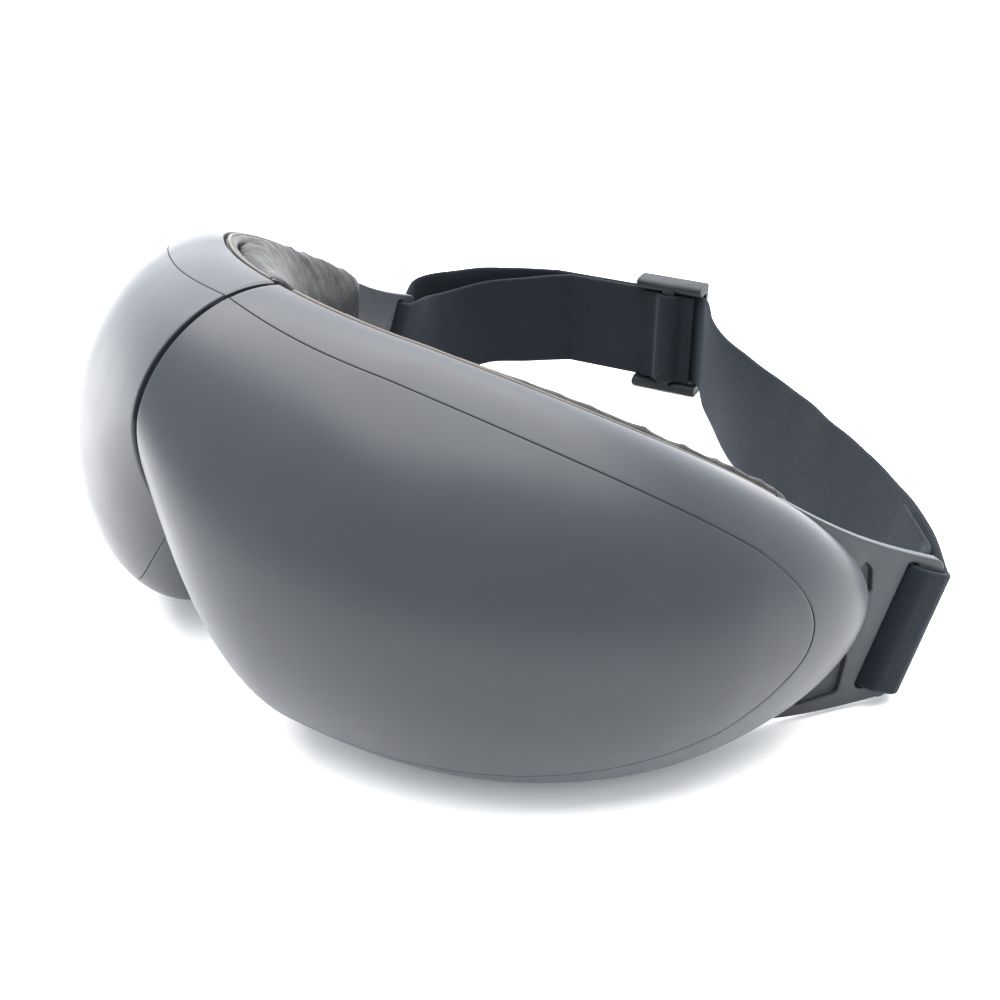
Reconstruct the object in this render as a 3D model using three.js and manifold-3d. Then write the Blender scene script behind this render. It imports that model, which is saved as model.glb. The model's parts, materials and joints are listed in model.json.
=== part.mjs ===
// Eye massager mask: two padded half shells that fold at the nose, on an elastic head strap.
// Millimetres, +Z up, the mask's face towards -Y, the wearer's left at +X.
// The mask is drawn upright along a curved rim line, with three distances:
//   s along the rim from the fold, z up, and d outward from the rim (negative towards the face).
// It then leans back until its lower rim and its strap stand on the same level.
import * as THREE from 'three';
import { mergeVertices } from 'three/addons/utils/BufferGeometryUtils.js';
import Module from 'manifold-3d';

const wasm = await Module();
wasm.setup();
const { sin, cos, sqrt, min, max, sign, abs, PI } = Math;
const DEG = PI / 180;
const GAP = 0.35;

// ---- driving dimensions ----
const LEAN = 14 * DEG;
const RIM = { radius: 85, turn: 70 * DEG, end: 142.5 };
const SEAM = 0.7;                       // half of the fold seam's width
const WALL = 3;
const SHELL = {
  top: 42, topAtSide: 41, nose: -12, bottom: -43.5, noseRun: 30,
  depth: 28, depthAtSide: 29, sideRun: 55, roundness: 1.85, tipHeight: 5,
  topTaper: 38, topPower: 1.55, bottomTaper: 48, bottomPower: 2, depthTaper: 53,
};
const PANEL = { tip: 119.5, middle: 2 * DEG, rise: 14 * DEG, above: 63 * DEG, below: 64 * DEG, thick: 1.5 };
const FRAME = { start: 4, end: 117.5, front: -0.4, rear: -3.3 };
const CUSHION = { start: 9.4, end: 119, rear: -3.8, crown: -18, inset: 1.5 };
const EYE = { s: 38, z: -3, wide: 22, tall: 22 };
const PAD = { wide: 19.6, tall: 19.8, back: -8.7, crown: -14.5 };
const HINGE = { y: 1, bottom: -8, top: 38, barrel: 2.6, bore: 1.45, pin: 1.1, knuckles: 5 };
const COVER = { bottom: -3, top: 33, from: -6 * DEG, to: 62 * DEG, thick: 1.4, inset: 1.4 };
const BRACKET = {
  start: 118, front: -0.4, rear: -3.3, halfEnd: 16.9, corner: 2.5, below: 1, waist: 1.6, belly: -1.2,
};
const BAR = { s: 157, z: -5.2, d: -1.85, slant: 8 * DEG, wide: 6.8, reach: 1.7 };
const SLOT = { wide: 2.8, tall: 30.5 };
const POCKETS = [
  [[141.5, 3], [145.8, 3.2], [144, 9.2], [141.5, 10.5]],
  [[138, -8], [144.6, -11.5], [145, -20.9], [135.5, -24.3], [131, -20]],
];
const POCKET_DEPTH = 1.5;
const STRAP = { wide: 29.5, thick: 1.5, loop: 3.3, layerStep: 1.86 };
const SLIDER = { long: 21, tall: 36.2, bar: 2.8, rail: 3, plate: 1.8, inside: 4.1 };
const SCREWS = [[32, 30], [32, -33], [108, 4]];
const PORT = { s: 84, d: 8, z: -34.3, wide: 9, thick: 3.4, deep: 7.4 };
const BUTTON = { s: 64, z: -39.6, d: 10, tilt: 58.4 * DEG, radius: 4.5, proud: 0.6, long: 7, travel: 0.8 };
const BATTERY = { long: 38, thick: 8.5, tall: 22, s: 64, z: 2, d: 12.5 };
const BOARD = { long: 38, thick: 1.4, tall: 32, s: 64, d: 4, chip: 9, chipThick: 1.6 };
const PUMP = { s: 66, z: 1, d: 12.5, motorRadius: 8, motorLong: 20, headRadius: 8.8, headLong: 13 };
const VALVE = { s: 38, z: 16, d: 8, wide: 10, thick: 9, tall: 11 };
const SPEAKER = { s: 92, z: 9, d: 5, radius: 8, thick: 3.4, magnet: 5, deep: 5.6 };
const VIBRATION = { s: 97, z: -12, d: 8, radius: 3.8, long: 12, weight: 3.3, weightLong: 3, drop: 8.2 };
const BOSS = { radius: 3.2, hole: 1.35 };

// ---- materials ----
function material(color, roughness, metalness = 0) {
  return new THREE.MeshStandardMaterial({ color, roughness, metalness });
}
const softTouch = material(0x3a3f48, 0.55);
const panelGrey = material(0x33373f, 0.5);
const frameBlack = material(0x1c1d20, 0.6);
const leather = material(0x22201f, 0.6);
const webbing = material(0x1a2230, 0.95);
const rubber = material(0x25272b, 0.8);
const steel = material(0xa9adb2, 0.35, 1);
const boardGreen = material(0x1f5a38, 0.6);
const copperFilm = material(0xb07a3c, 0.5, 0.6);
const cellBlue = material(0x2f5f9e, 0.5);
const clearVinyl = material(0xb9c2c8, 0.4);
const redWire = material(0xa02c24, 0.6);

// ---- solids ----
// One closed solid from points and triangles; points that coincide are joined.
function solid(points, triangles) {
  const keys = new Map();
  const kept = [];
  const index = points.map((p) => {
    const key = [p.x, p.y, p.z].map((v) => Math.round(v * 2000)).join();
    if (!keys.has(key)) {
      keys.set(key, kept.length);
      kept.push(p);
    }
    return keys.get(key);
  });
  const faces = triangles
    .map((t) => t.map((i) => index[i]))
    .filter(([a, b, c]) => a !== b && b !== c && a !== c);
  let volume = 0;
  for (const [a, b, c] of faces) {
    volume += kept[a].dot(kept[b].clone().cross(kept[c]));
  }
  if (volume < 0) {
    faces.forEach((t) => t.reverse());
  }
  return new wasm.Manifold(new wasm.Mesh({
    numProp: 3,
    vertProperties: new Float32Array(kept.flatMap((p) => [p.x, p.y, p.z])),
    triVerts: new Uint32Array(faces.flat()),
  }));
}

function solidOf(geometry, matrix = new THREE.Matrix4()) {
  const plain = geometry.clone().applyMatrix4(matrix);
  plain.deleteAttribute('normal');
  plain.deleteAttribute('uv');
  const merged = mergeVertices(plain, 1e-4);
  return new wasm.Manifold(new wasm.Mesh({
    numProp: 3,
    vertProperties: new Float32Array(merged.attributes.position.array),
    triVerts: new Uint32Array(merged.index.array),
  }));
}

function geometryOf(shape) {
  const mesh = shape.getMesh();
  const geometry = new THREE.BufferGeometry();
  geometry.setAttribute('position', new THREE.BufferAttribute(mesh.vertProperties, 3));
  geometry.setIndex(new THREE.BufferAttribute(mesh.triVerts, 1));
  return geometry;
}

function mirrored(geometry) {
  const copy = geometry.clone();
  const place = copy.attributes.position;
  for (let i = 0; i < place.count; i += 1) {
    place.setX(i, -place.getX(i));
  }
  const corners = copy.index;
  for (let i = 0; i < corners.count; i += 3) {
    const kept = corners.getX(i + 1);
    corners.setX(i + 1, corners.getX(i + 2));
    corners.setX(i + 2, kept);
  }
  return copy;
}

function quad(a, b, c, d) {
  return [[a, b, c], [a, c, d]];
}

// A slab between two sheets, each a function of u and v from 0 to 1.
function slab(across, along, front, back) {
  const points = [];
  const at = (side, i, j) => (side * (across + 1) + i) * (along + 1) + j;
  for (const sheet of [front, back]) {
    for (let i = 0; i <= across; i += 1) {
      for (let j = 0; j <= along; j += 1) {
        points.push(sheet(i / across, j / along));
      }
    }
  }
  const faces = [];
  for (let i = 0; i < across; i += 1) {
    for (let j = 0; j < along; j += 1) {
      faces.push(...quad(at(0, i, j), at(0, i + 1, j), at(0, i + 1, j + 1), at(0, i, j + 1)));
      faces.push(...quad(at(1, i, j + 1), at(1, i + 1, j + 1), at(1, i + 1, j), at(1, i, j)));
    }
  }
  for (let i = 0; i < across; i += 1) {
    faces.push(...quad(at(0, i + 1, 0), at(0, i, 0), at(1, i, 0), at(1, i + 1, 0)));
    faces.push(...quad(at(0, i, along), at(0, i + 1, along), at(1, i + 1, along), at(1, i, along)));
  }
  for (let j = 0; j < along; j += 1) {
    faces.push(...quad(at(0, 0, j), at(0, 0, j + 1), at(1, 0, j + 1), at(1, 0, j)));
    faces.push(...quad(at(0, across, j + 1), at(0, across, j), at(1, across, j), at(1, across, j + 1)));
  }
  return solid(points, faces);
}

// A ring or a bar swept through sections, each a list of points in the same order.
function sweep(sections, closed) {
  const sides = sections[0].length;
  const rounds = closed ? sections.length : sections.length - 1;
  const faces = [];
  for (let i = 0; i < rounds; i += 1) {
    const a = i * sides;
    const b = ((i + 1) % sections.length) * sides;
    for (let j = 0; j < sides; j += 1) {
      const k = (j + 1) % sides;
      faces.push(...quad(a + j, a + k, b + k, b + j));
    }
  }
  if (!closed) {
    const last = (sections.length - 1) * sides;
    for (let j = 1; j < sides - 1; j += 1) {
      faces.push([0, j + 1, j]);
      faces.push([last, last + j, last + j + 1]);
    }
  }
  return solid(sections.flat(), faces);
}

// A round or oval disc on the rim's curve, between two depths given from the centre to the edge.
function disc(centre, wide, tall, front, back, sides = 20, rings = 3) {
  const sheet = (depth) => (u, v) => {
    const turn = 2 * PI * v;
    return bend(centre.s + u * wide * cos(turn), centre.z + u * tall * sin(turn), depth(u));
  };
  return slab(rings, sides, sheet(front), sheet(back));
}

// ---- the curve that the mask follows ----
function smooth(t) {
  const x = min(max(t, 0), 1);
  return x * x * (3 - 2 * x);
}

function bend(s, z, d) {
  const turned = min(s / RIM.radius, RIM.turn);
  const straight = max(s - RIM.radius * RIM.turn, 0);
  const reach = RIM.radius + d;
  return new THREE.Vector3(
    reach * sin(turned) + straight * cos(turned),
    RIM.radius - reach * cos(turned) + straight * sin(turned),
    z,
  );
}

// Local axes at s: x along the rim, y outward tipped down by tilt, z up.
function placeAt(s, z, d, tilt = 0) {
  const turned = min(s / RIM.radius, RIM.turn);
  const along = new THREE.Vector3(cos(turned), sin(turned), 0);
  const outward = new THREE.Vector3(sin(turned), -cos(turned), 0);
  const up = new THREE.Vector3(0, 0, 1);
  const tipped = outward.clone().multiplyScalar(cos(tilt)).addScaledVector(up, -sin(tilt));
  const raised = along.clone().cross(tipped).negate();
  const basis = new THREE.Matrix4().makeBasis(along, tipped.negate(), raised);
  return basis.setPosition(bend(s, z, d));
}

function closing(s, end, from, power) {
  const t = min(max((s - from) / (end - from), 0), 1);
  return (1 - t ** power) ** (1 / power);
}

// Top, bottom and depth of the shell at s, drawn in by inset.
function section(s, inset = 0) {
  const run = max(s, 0);
  const end = RIM.end - inset;
  const top = SHELL.top + (SHELL.topAtSide - SHELL.top) * smooth(run / 50) - inset;
  const notch = sin(PI / 2 * min(run / SHELL.noseRun, 1));
  const bottom = SHELL.nose + (SHELL.bottom - SHELL.nose) * notch + inset;
  const depth = SHELL.depth + (SHELL.depthAtSide - SHELL.depth) * smooth(run / SHELL.sideRun) - inset;
  const tip = SHELL.tipHeight;
  return {
    top: tip + (top - tip) * closing(run, end, SHELL.topTaper, SHELL.topPower),
    bottom: tip + (bottom - tip) * closing(run, end, SHELL.bottomTaper, SHELL.bottomPower),
    depth: depth * closing(run, end, SHELL.depthTaper, 2),
  };
}

// A point on the shell's outside, or inset from it; angle -90 degrees is the lower rim.
function skin(s, angle, inset = 0) {
  const { top, bottom, depth } = section(s, inset);
  const power = 2 / SHELL.roundness;
  const out = max(cos(angle), 0) ** power;
  const up = sign(sin(angle)) * abs(sin(angle)) ** power;
  return { z: (top + bottom) / 2 + (top - bottom) / 2 * up, d: depth * out };
}

// ---- front shells and their parts ----
// The space from the rim out to the shell's skin; back is how far it reaches behind the rim.
function shellSpace(inset, start, back) {
  const end = RIM.end - inset;
  const reach = (u) => start + (end - start) * sin(u * PI / 2);
  const angle = (v) => (v - 0.5) * PI;
  const front = (u, v) => {
    const at = skin(reach(u), angle(v), inset);
    return bend(reach(u), at.z, at.d);
  };
  const rear = (u, v) => bend(reach(u), skin(reach(u), angle(v), inset).z, back);
  return slab(17, 12, front, rear);
}

function drill(radius, length, place, sides = 12) {
  return solidOf(new THREE.CylinderGeometry(radius, radius, length, sides), place);
}

function block(x, y, z, place) {
  return solidOf(new THREE.BoxGeometry(x, y, z), place);
}

// The panel's field on the skin between two insets, grown all round by a margin.
function panelField(outside, inside, grow) {
  const start = SEAM + 0.1;
  const reach = (u) => {
    const s = start + (PANEL.tip - start) * sin(u * PI / 2) + grow * u;
    return u === 0 ? s - grow : s;
  };
  const sheet = (inset) => (u, v) => {
    const s = reach(u);
    const round = sqrt(max(1 - (max(s, 0) / (PANEL.tip + grow)) ** 3, 0));
    const margin = grow * 0.03 * round;
    const above = PANEL.above * round + margin;
    const below = PANEL.below * round + margin;
    const middle = PANEL.middle + PANEL.rise * (max(s, 0) / PANEL.tip) ** 4;
    const at = skin(s, middle - below + (above + below) * v, inset);
    return bend(s, at.z, at.d);
  };
  return slab(16, 10, sheet(outside), sheet(inside));
}

function frontShell() {
  let hollow = shellSpace(WALL, -3, -2);
  for (const [s, z] of SCREWS) {
    hollow = hollow.subtract(drill(BOSS.radius, 50, placeAt(s, z, 25)));
  }
  let shell = shellSpace(0, SEAM, 0).subtract(hollow);
  for (const [s, z] of SCREWS) {
    shell = shell.subtract(drill(BOSS.hole, 20, placeAt(s, z, 0), 8));
  }
  return shell.subtract(panelField(-2, PANEL.thick + GAP, GAP));
}

function facePanel() {
  return panelField(0, PANEL.thick, 0);
}

function rearFrame() {
  const reach = (u) => FRAME.start + (FRAME.end - FRAME.start) * u;
  const sheet = (d) => (u, v) => {
    const { top, bottom } = section(reach(u));
    return bend(reach(u), bottom + (top - bottom) * v, d);
  };
  let frame = slab(15, 4, sheet(FRAME.front), sheet(FRAME.rear));
  for (const [s, z] of SCREWS) {
    frame = frame.subtract(drill(1.4, 20, placeAt(s, z, 0), 8));
    frame = frame.subtract(drill(2.8, 4, placeAt(s, z, -3.7)));
  }
  return frame;
}

function screw(s, z) {
  const head = drill(2.3, 1.2, placeAt(s, z, -2.7), 10);
  const shank = drill(1, 11, placeAt(s, z, 3.2), 8);
  return head.add(shank);
}

// ---- soft parts against the face ----
function rimOutline(start, end, inset) {
  const points = [];
  const steps = 11;
  for (let i = 0; i <= steps; i += 1) {
    const s = start + (end - start) * i / steps;
    points.push([s, section(s).top - inset]);
  }
  for (let i = 1; i < 4; i += 1) {
    const { top, bottom } = section(end);
    points.push([end + 3 * sin(PI * i / 4), top - inset + (bottom - top + 2 * inset) * i / 4]);
  }
  for (let i = steps; i >= 0; i -= 1) {
    const s = start + (end - start) * i / steps;
    points.push([s, section(s).bottom + inset]);
  }
  for (let i = 1; i < 4; i += 1) {
    const { top, bottom } = section(start);
    points.push([start, bottom + inset + (top - bottom - 2 * inset) * i / 4]);
  }
  return points;
}

// The padded ring: each section runs from the outer edge to the eye opening and back.
function faceCushion() {
  const { rear, crown } = CUSHION;
  const profile = [
    [0, rear], [0, rear - 5], [0.2, crown + 3], [0.5, crown], [0.8, crown + 1.5], [1, rear - 7],
    [1, rear], [0.75, rear], [0.5, rear], [0.25, rear],
  ];
  const sections = rimOutline(CUSHION.start, CUSHION.end, CUSHION.inset).map(([s, z]) => {
    const turn = Math.atan2((z - EYE.z) / EYE.tall, (s - EYE.s) / EYE.wide);
    const inner = [EYE.s + EYE.wide * cos(turn), EYE.z + EYE.tall * sin(turn)];
    return profile.map(([t, d]) => bend(s + (inner[0] - s) * t, z + (inner[1] - z) * t, d));
  });
  return sweep(sections, true);
}

function eyePad() {
  const crown = (u) => PAD.crown + 3.8 * u * u;
  return disc(EYE, PAD.wide, PAD.tall, crown, () => PAD.back);
}

function heatingFilm() {
  return disc(EYE, 17, 17, () => -7.95, () => -8.3, 16);
}

function airbag() {
  const swell = (u) => 1.7 * (1 - 0.7 * u ** 4);
  return disc(EYE, 17.5, 17.5, (u) => -5.7 + swell(u), (u) => -5.7 - swell(u), 16);
}

// A short pleated strip that closes the gap behind the hinge.
function bridgeCover() {
  const strip = (depth) => (u, v) => {
    const s = -6.6 + 13.2 * u;
    return bend(s, -7 + 44 * v, depth - 1.2 * cos(3 * PI * s / 6.6));
  };
  return slab(18, 1, strip(-6.2), strip(-7.4));
}

// ---- fold hinge ----
function hingeLeaf(first) {
  const tall = (HINGE.top - HINGE.bottom) / HINGE.knuckles;
  const middle = (HINGE.top + HINGE.bottom) / 2;
  const upright = new THREE.Matrix4().makeRotationX(PI / 2);
  const at = (x, y, z) => new THREE.Matrix4().makeTranslation(x, y, z);
  let leaf = block(12.9, 1.5, HINGE.top - HINGE.bottom - 2, at(9.55, -1.25, middle));
  for (let i = first; i < HINGE.knuckles; i += 2) {
    const z = HINGE.bottom + tall * (i + 0.5);
    const height = tall - GAP;
    leaf = leaf.add(drill(HINGE.barrel, height, at(0, HINGE.y, z).multiply(upright), 16));
    leaf = leaf.add(block(2.9, 1.1, height, at(1.75, -1.05, z)));
  }
  return leaf.subtract(drill(HINGE.bore, 60, at(0, HINGE.y, middle).multiply(upright), 16));
}

function hingePin() {
  const middle = (HINGE.top + HINGE.bottom) / 2;
  const place = new THREE.Matrix4().makeTranslation(0, HINGE.y, middle);
  place.multiply(new THREE.Matrix4().makeRotationX(PI / 2));
  return drill(HINGE.pin, HINGE.top - HINGE.bottom + 1, place, 12);
}

// The curved cover turns about the hinge, just inside the right shell.
function hingeCover() {
  const radius = (z, inset) => {
    const { top, bottom, depth } = section(0, inset);
    const up = (z - (top + bottom) / 2) / ((top - bottom) / 2);
    const out = max(1 - abs(up) ** SHELL.roundness, 0) ** (1 / SHELL.roundness);
    return HINGE.y + depth * out;
  };
  const sheet = (inset) => (u, v) => {
    const turn = COVER.from + (COVER.to - COVER.from) * u;
    const z = COVER.bottom + (COVER.top - COVER.bottom) * v;
    const r = radius(z, inset);
    return new THREE.Vector3(-r * sin(turn), HINGE.y - r * cos(turn), z);
  };
  const outside = WALL + COVER.inset;
  return slab(10, 8, sheet(outside), sheet(outside + COVER.thick));
}

// ---- strap brackets ----
function bracketPlace(d) {
  const outward = new THREE.Vector3(sin(RIM.turn), -cos(RIM.turn), 0);
  const along = new THREE.Vector3(cos(RIM.turn), sin(RIM.turn), 0);
  const up = new THREE.Vector3(0, 0, 1);
  const basis = new THREE.Matrix4().makeBasis(along, up, outward);
  const origin = bend(RIM.radius * RIM.turn, 0, d);
  return basis.setPosition(origin);
}

// An outline of [s, z] corners pressed out from depth d by thick.
function pressed(corners, d, thick) {
  const start = RIM.radius * RIM.turn;
  const shape = new THREE.Shape(corners.map(([s, z]) => new THREE.Vector2(s - start, z)));
  const plate = new THREE.ExtrudeGeometry(shape, { depth: thick, bevelEnabled: false });
  return solidOf(plate, bracketPlace(d));
}

// A point of the slanted bar's own outline: x away from the mask, z up along the bar.
function onBar(x, z) {
  const { s, slant } = BAR;
  return [s + x * cos(slant) + z * sin(slant), BAR.z - x * sin(slant) + z * cos(slant)];
}

function strapBracket() {
  const root = section(BRACKET.start);
  const { start, front, rear, halfEnd, corner, waist, belly } = BRACKET;
  const edge = BAR.wide / 2;
  const top = onBar(edge - corner, halfEnd);
  const bottom = onBar(edge - corner, -halfEnd);
  const rootBottom = root.bottom - BRACKET.below;
  const between = (end, from, pull) => [0.25, 0.5, 0.75].map((t) => [
    start + (end[0] - start) * t, from + (end[1] - from) * t + pull * sin(PI * t),
  ]);
  const outline = [
    [start, rootBottom], [start, root.top], ...between(top, root.top, -waist), top,
    onBar(edge - 0.7, halfEnd - 0.7), onBar(edge, halfEnd - corner),
    onBar(edge, corner - halfEnd), onBar(edge - 0.7, 0.7 - halfEnd), bottom,
    ...between(bottom, rootBottom, belly).reverse(),
  ];
  const half = SLOT.tall / 2;
  const slot = [
    onBar(-edge - SLOT.wide, -half), onBar(-edge, -half), onBar(-edge, half), onBar(-edge - SLOT.wide, half),
  ];
  let bracket = pressed(outline, rear, front - rear).subtract(pressed(slot, rear - 1, 6));
  for (const pocket of POCKETS) {
    bracket = bracket.subtract(pressed(pocket, front - POCKET_DEPTH, 3));
  }
  return bracket;
}

// ---- parts held inside ----
function speaker() {
  const place = placeAt(SPEAKER.s, SPEAKER.z, SPEAKER.d);
  const magnet = drill(SPEAKER.magnet, SPEAKER.deep, place, 12);
  return drill(SPEAKER.radius, SPEAKER.thick, place, 16).add(magnet);
}

function vibrationMotor(part) {
  const place = placeAt(VIBRATION.s, VIBRATION.z, VIBRATION.d);
  place.multiply(new THREE.Matrix4().makeRotationX(PI / 2));
  const moved = (y) => place.clone().multiply(new THREE.Matrix4().makeTranslation(0, y, 0));
  if (part === 'motor') {
    return drill(VIBRATION.radius, VIBRATION.long, place, 12).add(drill(0.5, 6, moved(-7), 8));
  }
  const { weight, weightLong, drop } = VIBRATION;
  const round = drill(weight, weightLong, moved(-drop), 16).subtract(drill(0.85, 4, moved(-drop), 8));
  const half = moved(-drop).multiply(new THREE.Matrix4().makeTranslation(0, 0, 4.8));
  return round.subtract(block(10, 5, 8, half));
}

function battery() {
  return block(BATTERY.long, BATTERY.thick, BATTERY.tall, placeAt(BATTERY.s, BATTERY.z, BATTERY.d));
}

function mainBoard() {
  const board = block(BOARD.long, BOARD.thick, BOARD.tall, placeAt(BOARD.s, 0, BOARD.d));
  const chip = block(BOARD.chip, BOARD.chipThick, BOARD.chip, placeAt(BOARD.s, 5, BOARD.d + 1.2));
  return board.add(chip);
}

// Pump parts sit in a row along the rim: x is counted from the pump's middle.
function pumpPart(radius, length, x, pipe) {
  const place = placeAt(PUMP.s, PUMP.z, PUMP.d).multiply(new THREE.Matrix4().makeTranslation(x, 0, 0));
  const lying = place.clone().multiply(new THREE.Matrix4().makeRotationZ(PI / 2));
  const body = drill(radius, length, lying, 16);
  return pipe ? body.add(drill(1.6, 8, lying.multiply(
    new THREE.Matrix4().makeTranslation(3, -length / 2 - 3, 0)), 8)) : body;
}

function airValve() {
  const place = placeAt(VALVE.s, VALVE.z, VALVE.d);
  const below = place.clone().multiply(new THREE.Matrix4().makeTranslation(0, 0, -7));
  const spout = drill(1.6, 6, below.multiply(new THREE.Matrix4().makeRotationX(PI / 2)), 8);
  return block(VALVE.wide, VALVE.thick, VALVE.tall, place).add(spout);
}

function usbPort() {
  const at = (z) => placeAt(PORT.s, z, PORT.d);
  const body = block(PORT.wide, PORT.thick, PORT.deep, at(PORT.z));
  const mouth = block(PORT.wide - 0.8, PORT.thick - 0.8, 6, at(PORT.z - 1.6));
  const tongue = block(6.4, 0.7, 6, at(PORT.z - 0.4));
  return body.subtract(mouth).add(tongue);
}

function chargeBoard() {
  return block(20, 1.5, 13, placeAt(PORT.s, -23, PORT.d));
}

function buttonPlace(depth) {
  return placeAt(BUTTON.s, BUTTON.z, BUTTON.d, BUTTON.tilt)
    .multiply(new THREE.Matrix4().makeTranslation(0, depth, 0));
}

function powerButton() {
  return drill(BUTTON.radius, BUTTON.long, buttonPlace(BUTTON.long / 2 - BUTTON.proud), 20);
}

function buttonSwitch() {
  const start = BUTTON.long - BUTTON.proud + BUTTON.travel + GAP;
  const plunger = drill(1.4, 1.6, buttonPlace(start + 0.7), 10);
  return plunger.add(block(6, 3, 6, buttonPlace(start + 2.9)));
}

// Openings that only the right shell has: the charging inlet and the power button.
function rightShell() {
  const inlet = block(PORT.wide + 2 * GAP, PORT.thick + 2 * GAP, 16, placeAt(PORT.s, PORT.z - 4, PORT.d));
  const hole = drill(BUTTON.radius + GAP, 20, buttonPlace(0), 20);
  return frontShell().subtract(inlet).subtract(hole);
}

// A round line across the fold at a steady height and depth, with a little slack.
function crossing(radius, z, d, reach) {
  const sections = [];
  for (let i = 0; i <= 14; i += 1) {
    const s = -reach + 2 * reach * i / 14;
    const lift = 1.5 * sin(PI * i / 7);
    const ring = [];
    for (let j = 0; j < 8; j += 1) {
      const turn = 2 * PI * j / 8;
      ring.push(bend(s, z + lift + radius * sin(turn), d + radius * cos(turn)));
    }
    sections.push(ring);
  }
  return sweep(sections, false);
}

// ---- head strap, in the frame of the surface that the mask stands on ----
const leaned = new THREE.Matrix4().makeRotationX(-LEAN);
function restingHeight(geometries) {
  const lowest = geometries.map((geometry) => {
    const copy = geometry.clone().applyMatrix4(leaned);
    copy.computeBoundingBox();
    return copy.boundingBox.min.z;
  });
  return -min(...lowest);
}

const shellGeometry = geometryOf(frontShell());
const frameGeometry = geometryOf(rearFrame());
const cushionGeometry = geometryOf(faceCushion());
const bracketGeometry = geometryOf(strapBracket());
const LIFT = restingHeight([shellGeometry, frameGeometry, cushionGeometry, bracketGeometry]);
const standing = new THREE.Matrix4().makeTranslation(0, 0, LIFT).multiply(leaned);
const UPRIGHT = new THREE.Vector3(0, 0, 1).transformDirection(leaned);
const LEVEL_UP = new THREE.Vector3(0, 0, 1);

// The bracket bar of one side: its middle, and its directions rearward, up and outward.
function barOf(side) {
  const turned = (x, y) => new THREE.Vector3(side * x, y, 0).transformDirection(leaned);
  const centre = bend(BAR.s, BAR.z, BAR.d);
  centre.x *= side;
  const along = turned(cos(RIM.turn), sin(RIM.turn));
  return {
    centre: centre.applyMatrix4(standing),
    rearward: along.clone().multiplyScalar(cos(BAR.slant)).addScaledVector(UPRIGHT, -sin(BAR.slant)),
    up: UPRIGHT.clone().multiplyScalar(cos(BAR.slant)).addScaledVector(along, sin(BAR.slant)),
    outward: turned(sin(RIM.turn), -cos(RIM.turn)),
  };
}

// The strap's turn over the flat bar: two round ends joined by straight sides.
function aroundBar(bar, fromAngle, toAngle, steps) {
  const stations = [];
  for (let i = 0; i <= steps; i += 1) {
    const turn = (fromAngle + (toAngle - fromAngle) * i / steps) * DEG;
    const centre = bar.centre.clone()
      .addScaledVector(bar.rearward, STRAP.loop * cos(turn) + BAR.reach * sign(cos(turn)))
      .addScaledVector(bar.outward, STRAP.loop * sin(turn));
    stations.push({ centre, up: bar.up });
  }
  return stations;
}

// Stations along a smooth line through plan points [x, y, middle height].
// The strap's tilt at its start fades after the share holdTo of its length.
function span(plan, steps, startUp, endUp, holdTo = 0) {
  const curve = new THREE.CatmullRomCurve3(plan.map((p) => new THREE.Vector3(...p)), false, 'centripetal');
  const stations = [];
  for (let i = 1; i < steps; i += 1) {
    const t = i / steps;
    const up = LEVEL_UP.clone()
      .lerp(startUp, 1 - smooth((t - holdTo) / 0.3))
      .lerp(endUp, smooth((t - 0.7) / 0.3));
    stations.push({ centre: curve.getPointAt(t), up: up.normalize() });
  }
  return stations;
}

function ribbon(stations) {
  const last = stations.length - 1;
  const sections = stations.map(({ centre, up }, i) => {
    const ahead = stations[min(i + 1, last)].centre.clone().sub(stations[max(i - 1, 0)].centre);
    const along = ahead.addScaledVector(up, -ahead.dot(up)).normalize();
    const across = along.clone().cross(up);
    const corner = (a, b) => centre.clone()
      .addScaledVector(across, a * STRAP.thick / 2)
      .addScaledVector(up, b * STRAP.wide / 2);
    return [corner(1, -1), corner(1, 1), corner(-1, 1), corner(-1, -1)];
  });
  return sweep(sections, false);
}

// The slider's straight stretch starts at its rear corner and runs towards the right bracket.
const STRETCH = { x: -38, y: 181, long: 52, toX: -0.906, toY: -0.423, height: 18.3 };
function onStretch(t, inward) {
  const step = STRAP.layerStep * inward;
  return [
    STRETCH.x + STRETCH.toX * t - STRETCH.toY * step,
    STRETCH.y + STRETCH.toY * t + STRETCH.toX * step,
    STRETCH.height,
  ];
}

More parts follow.
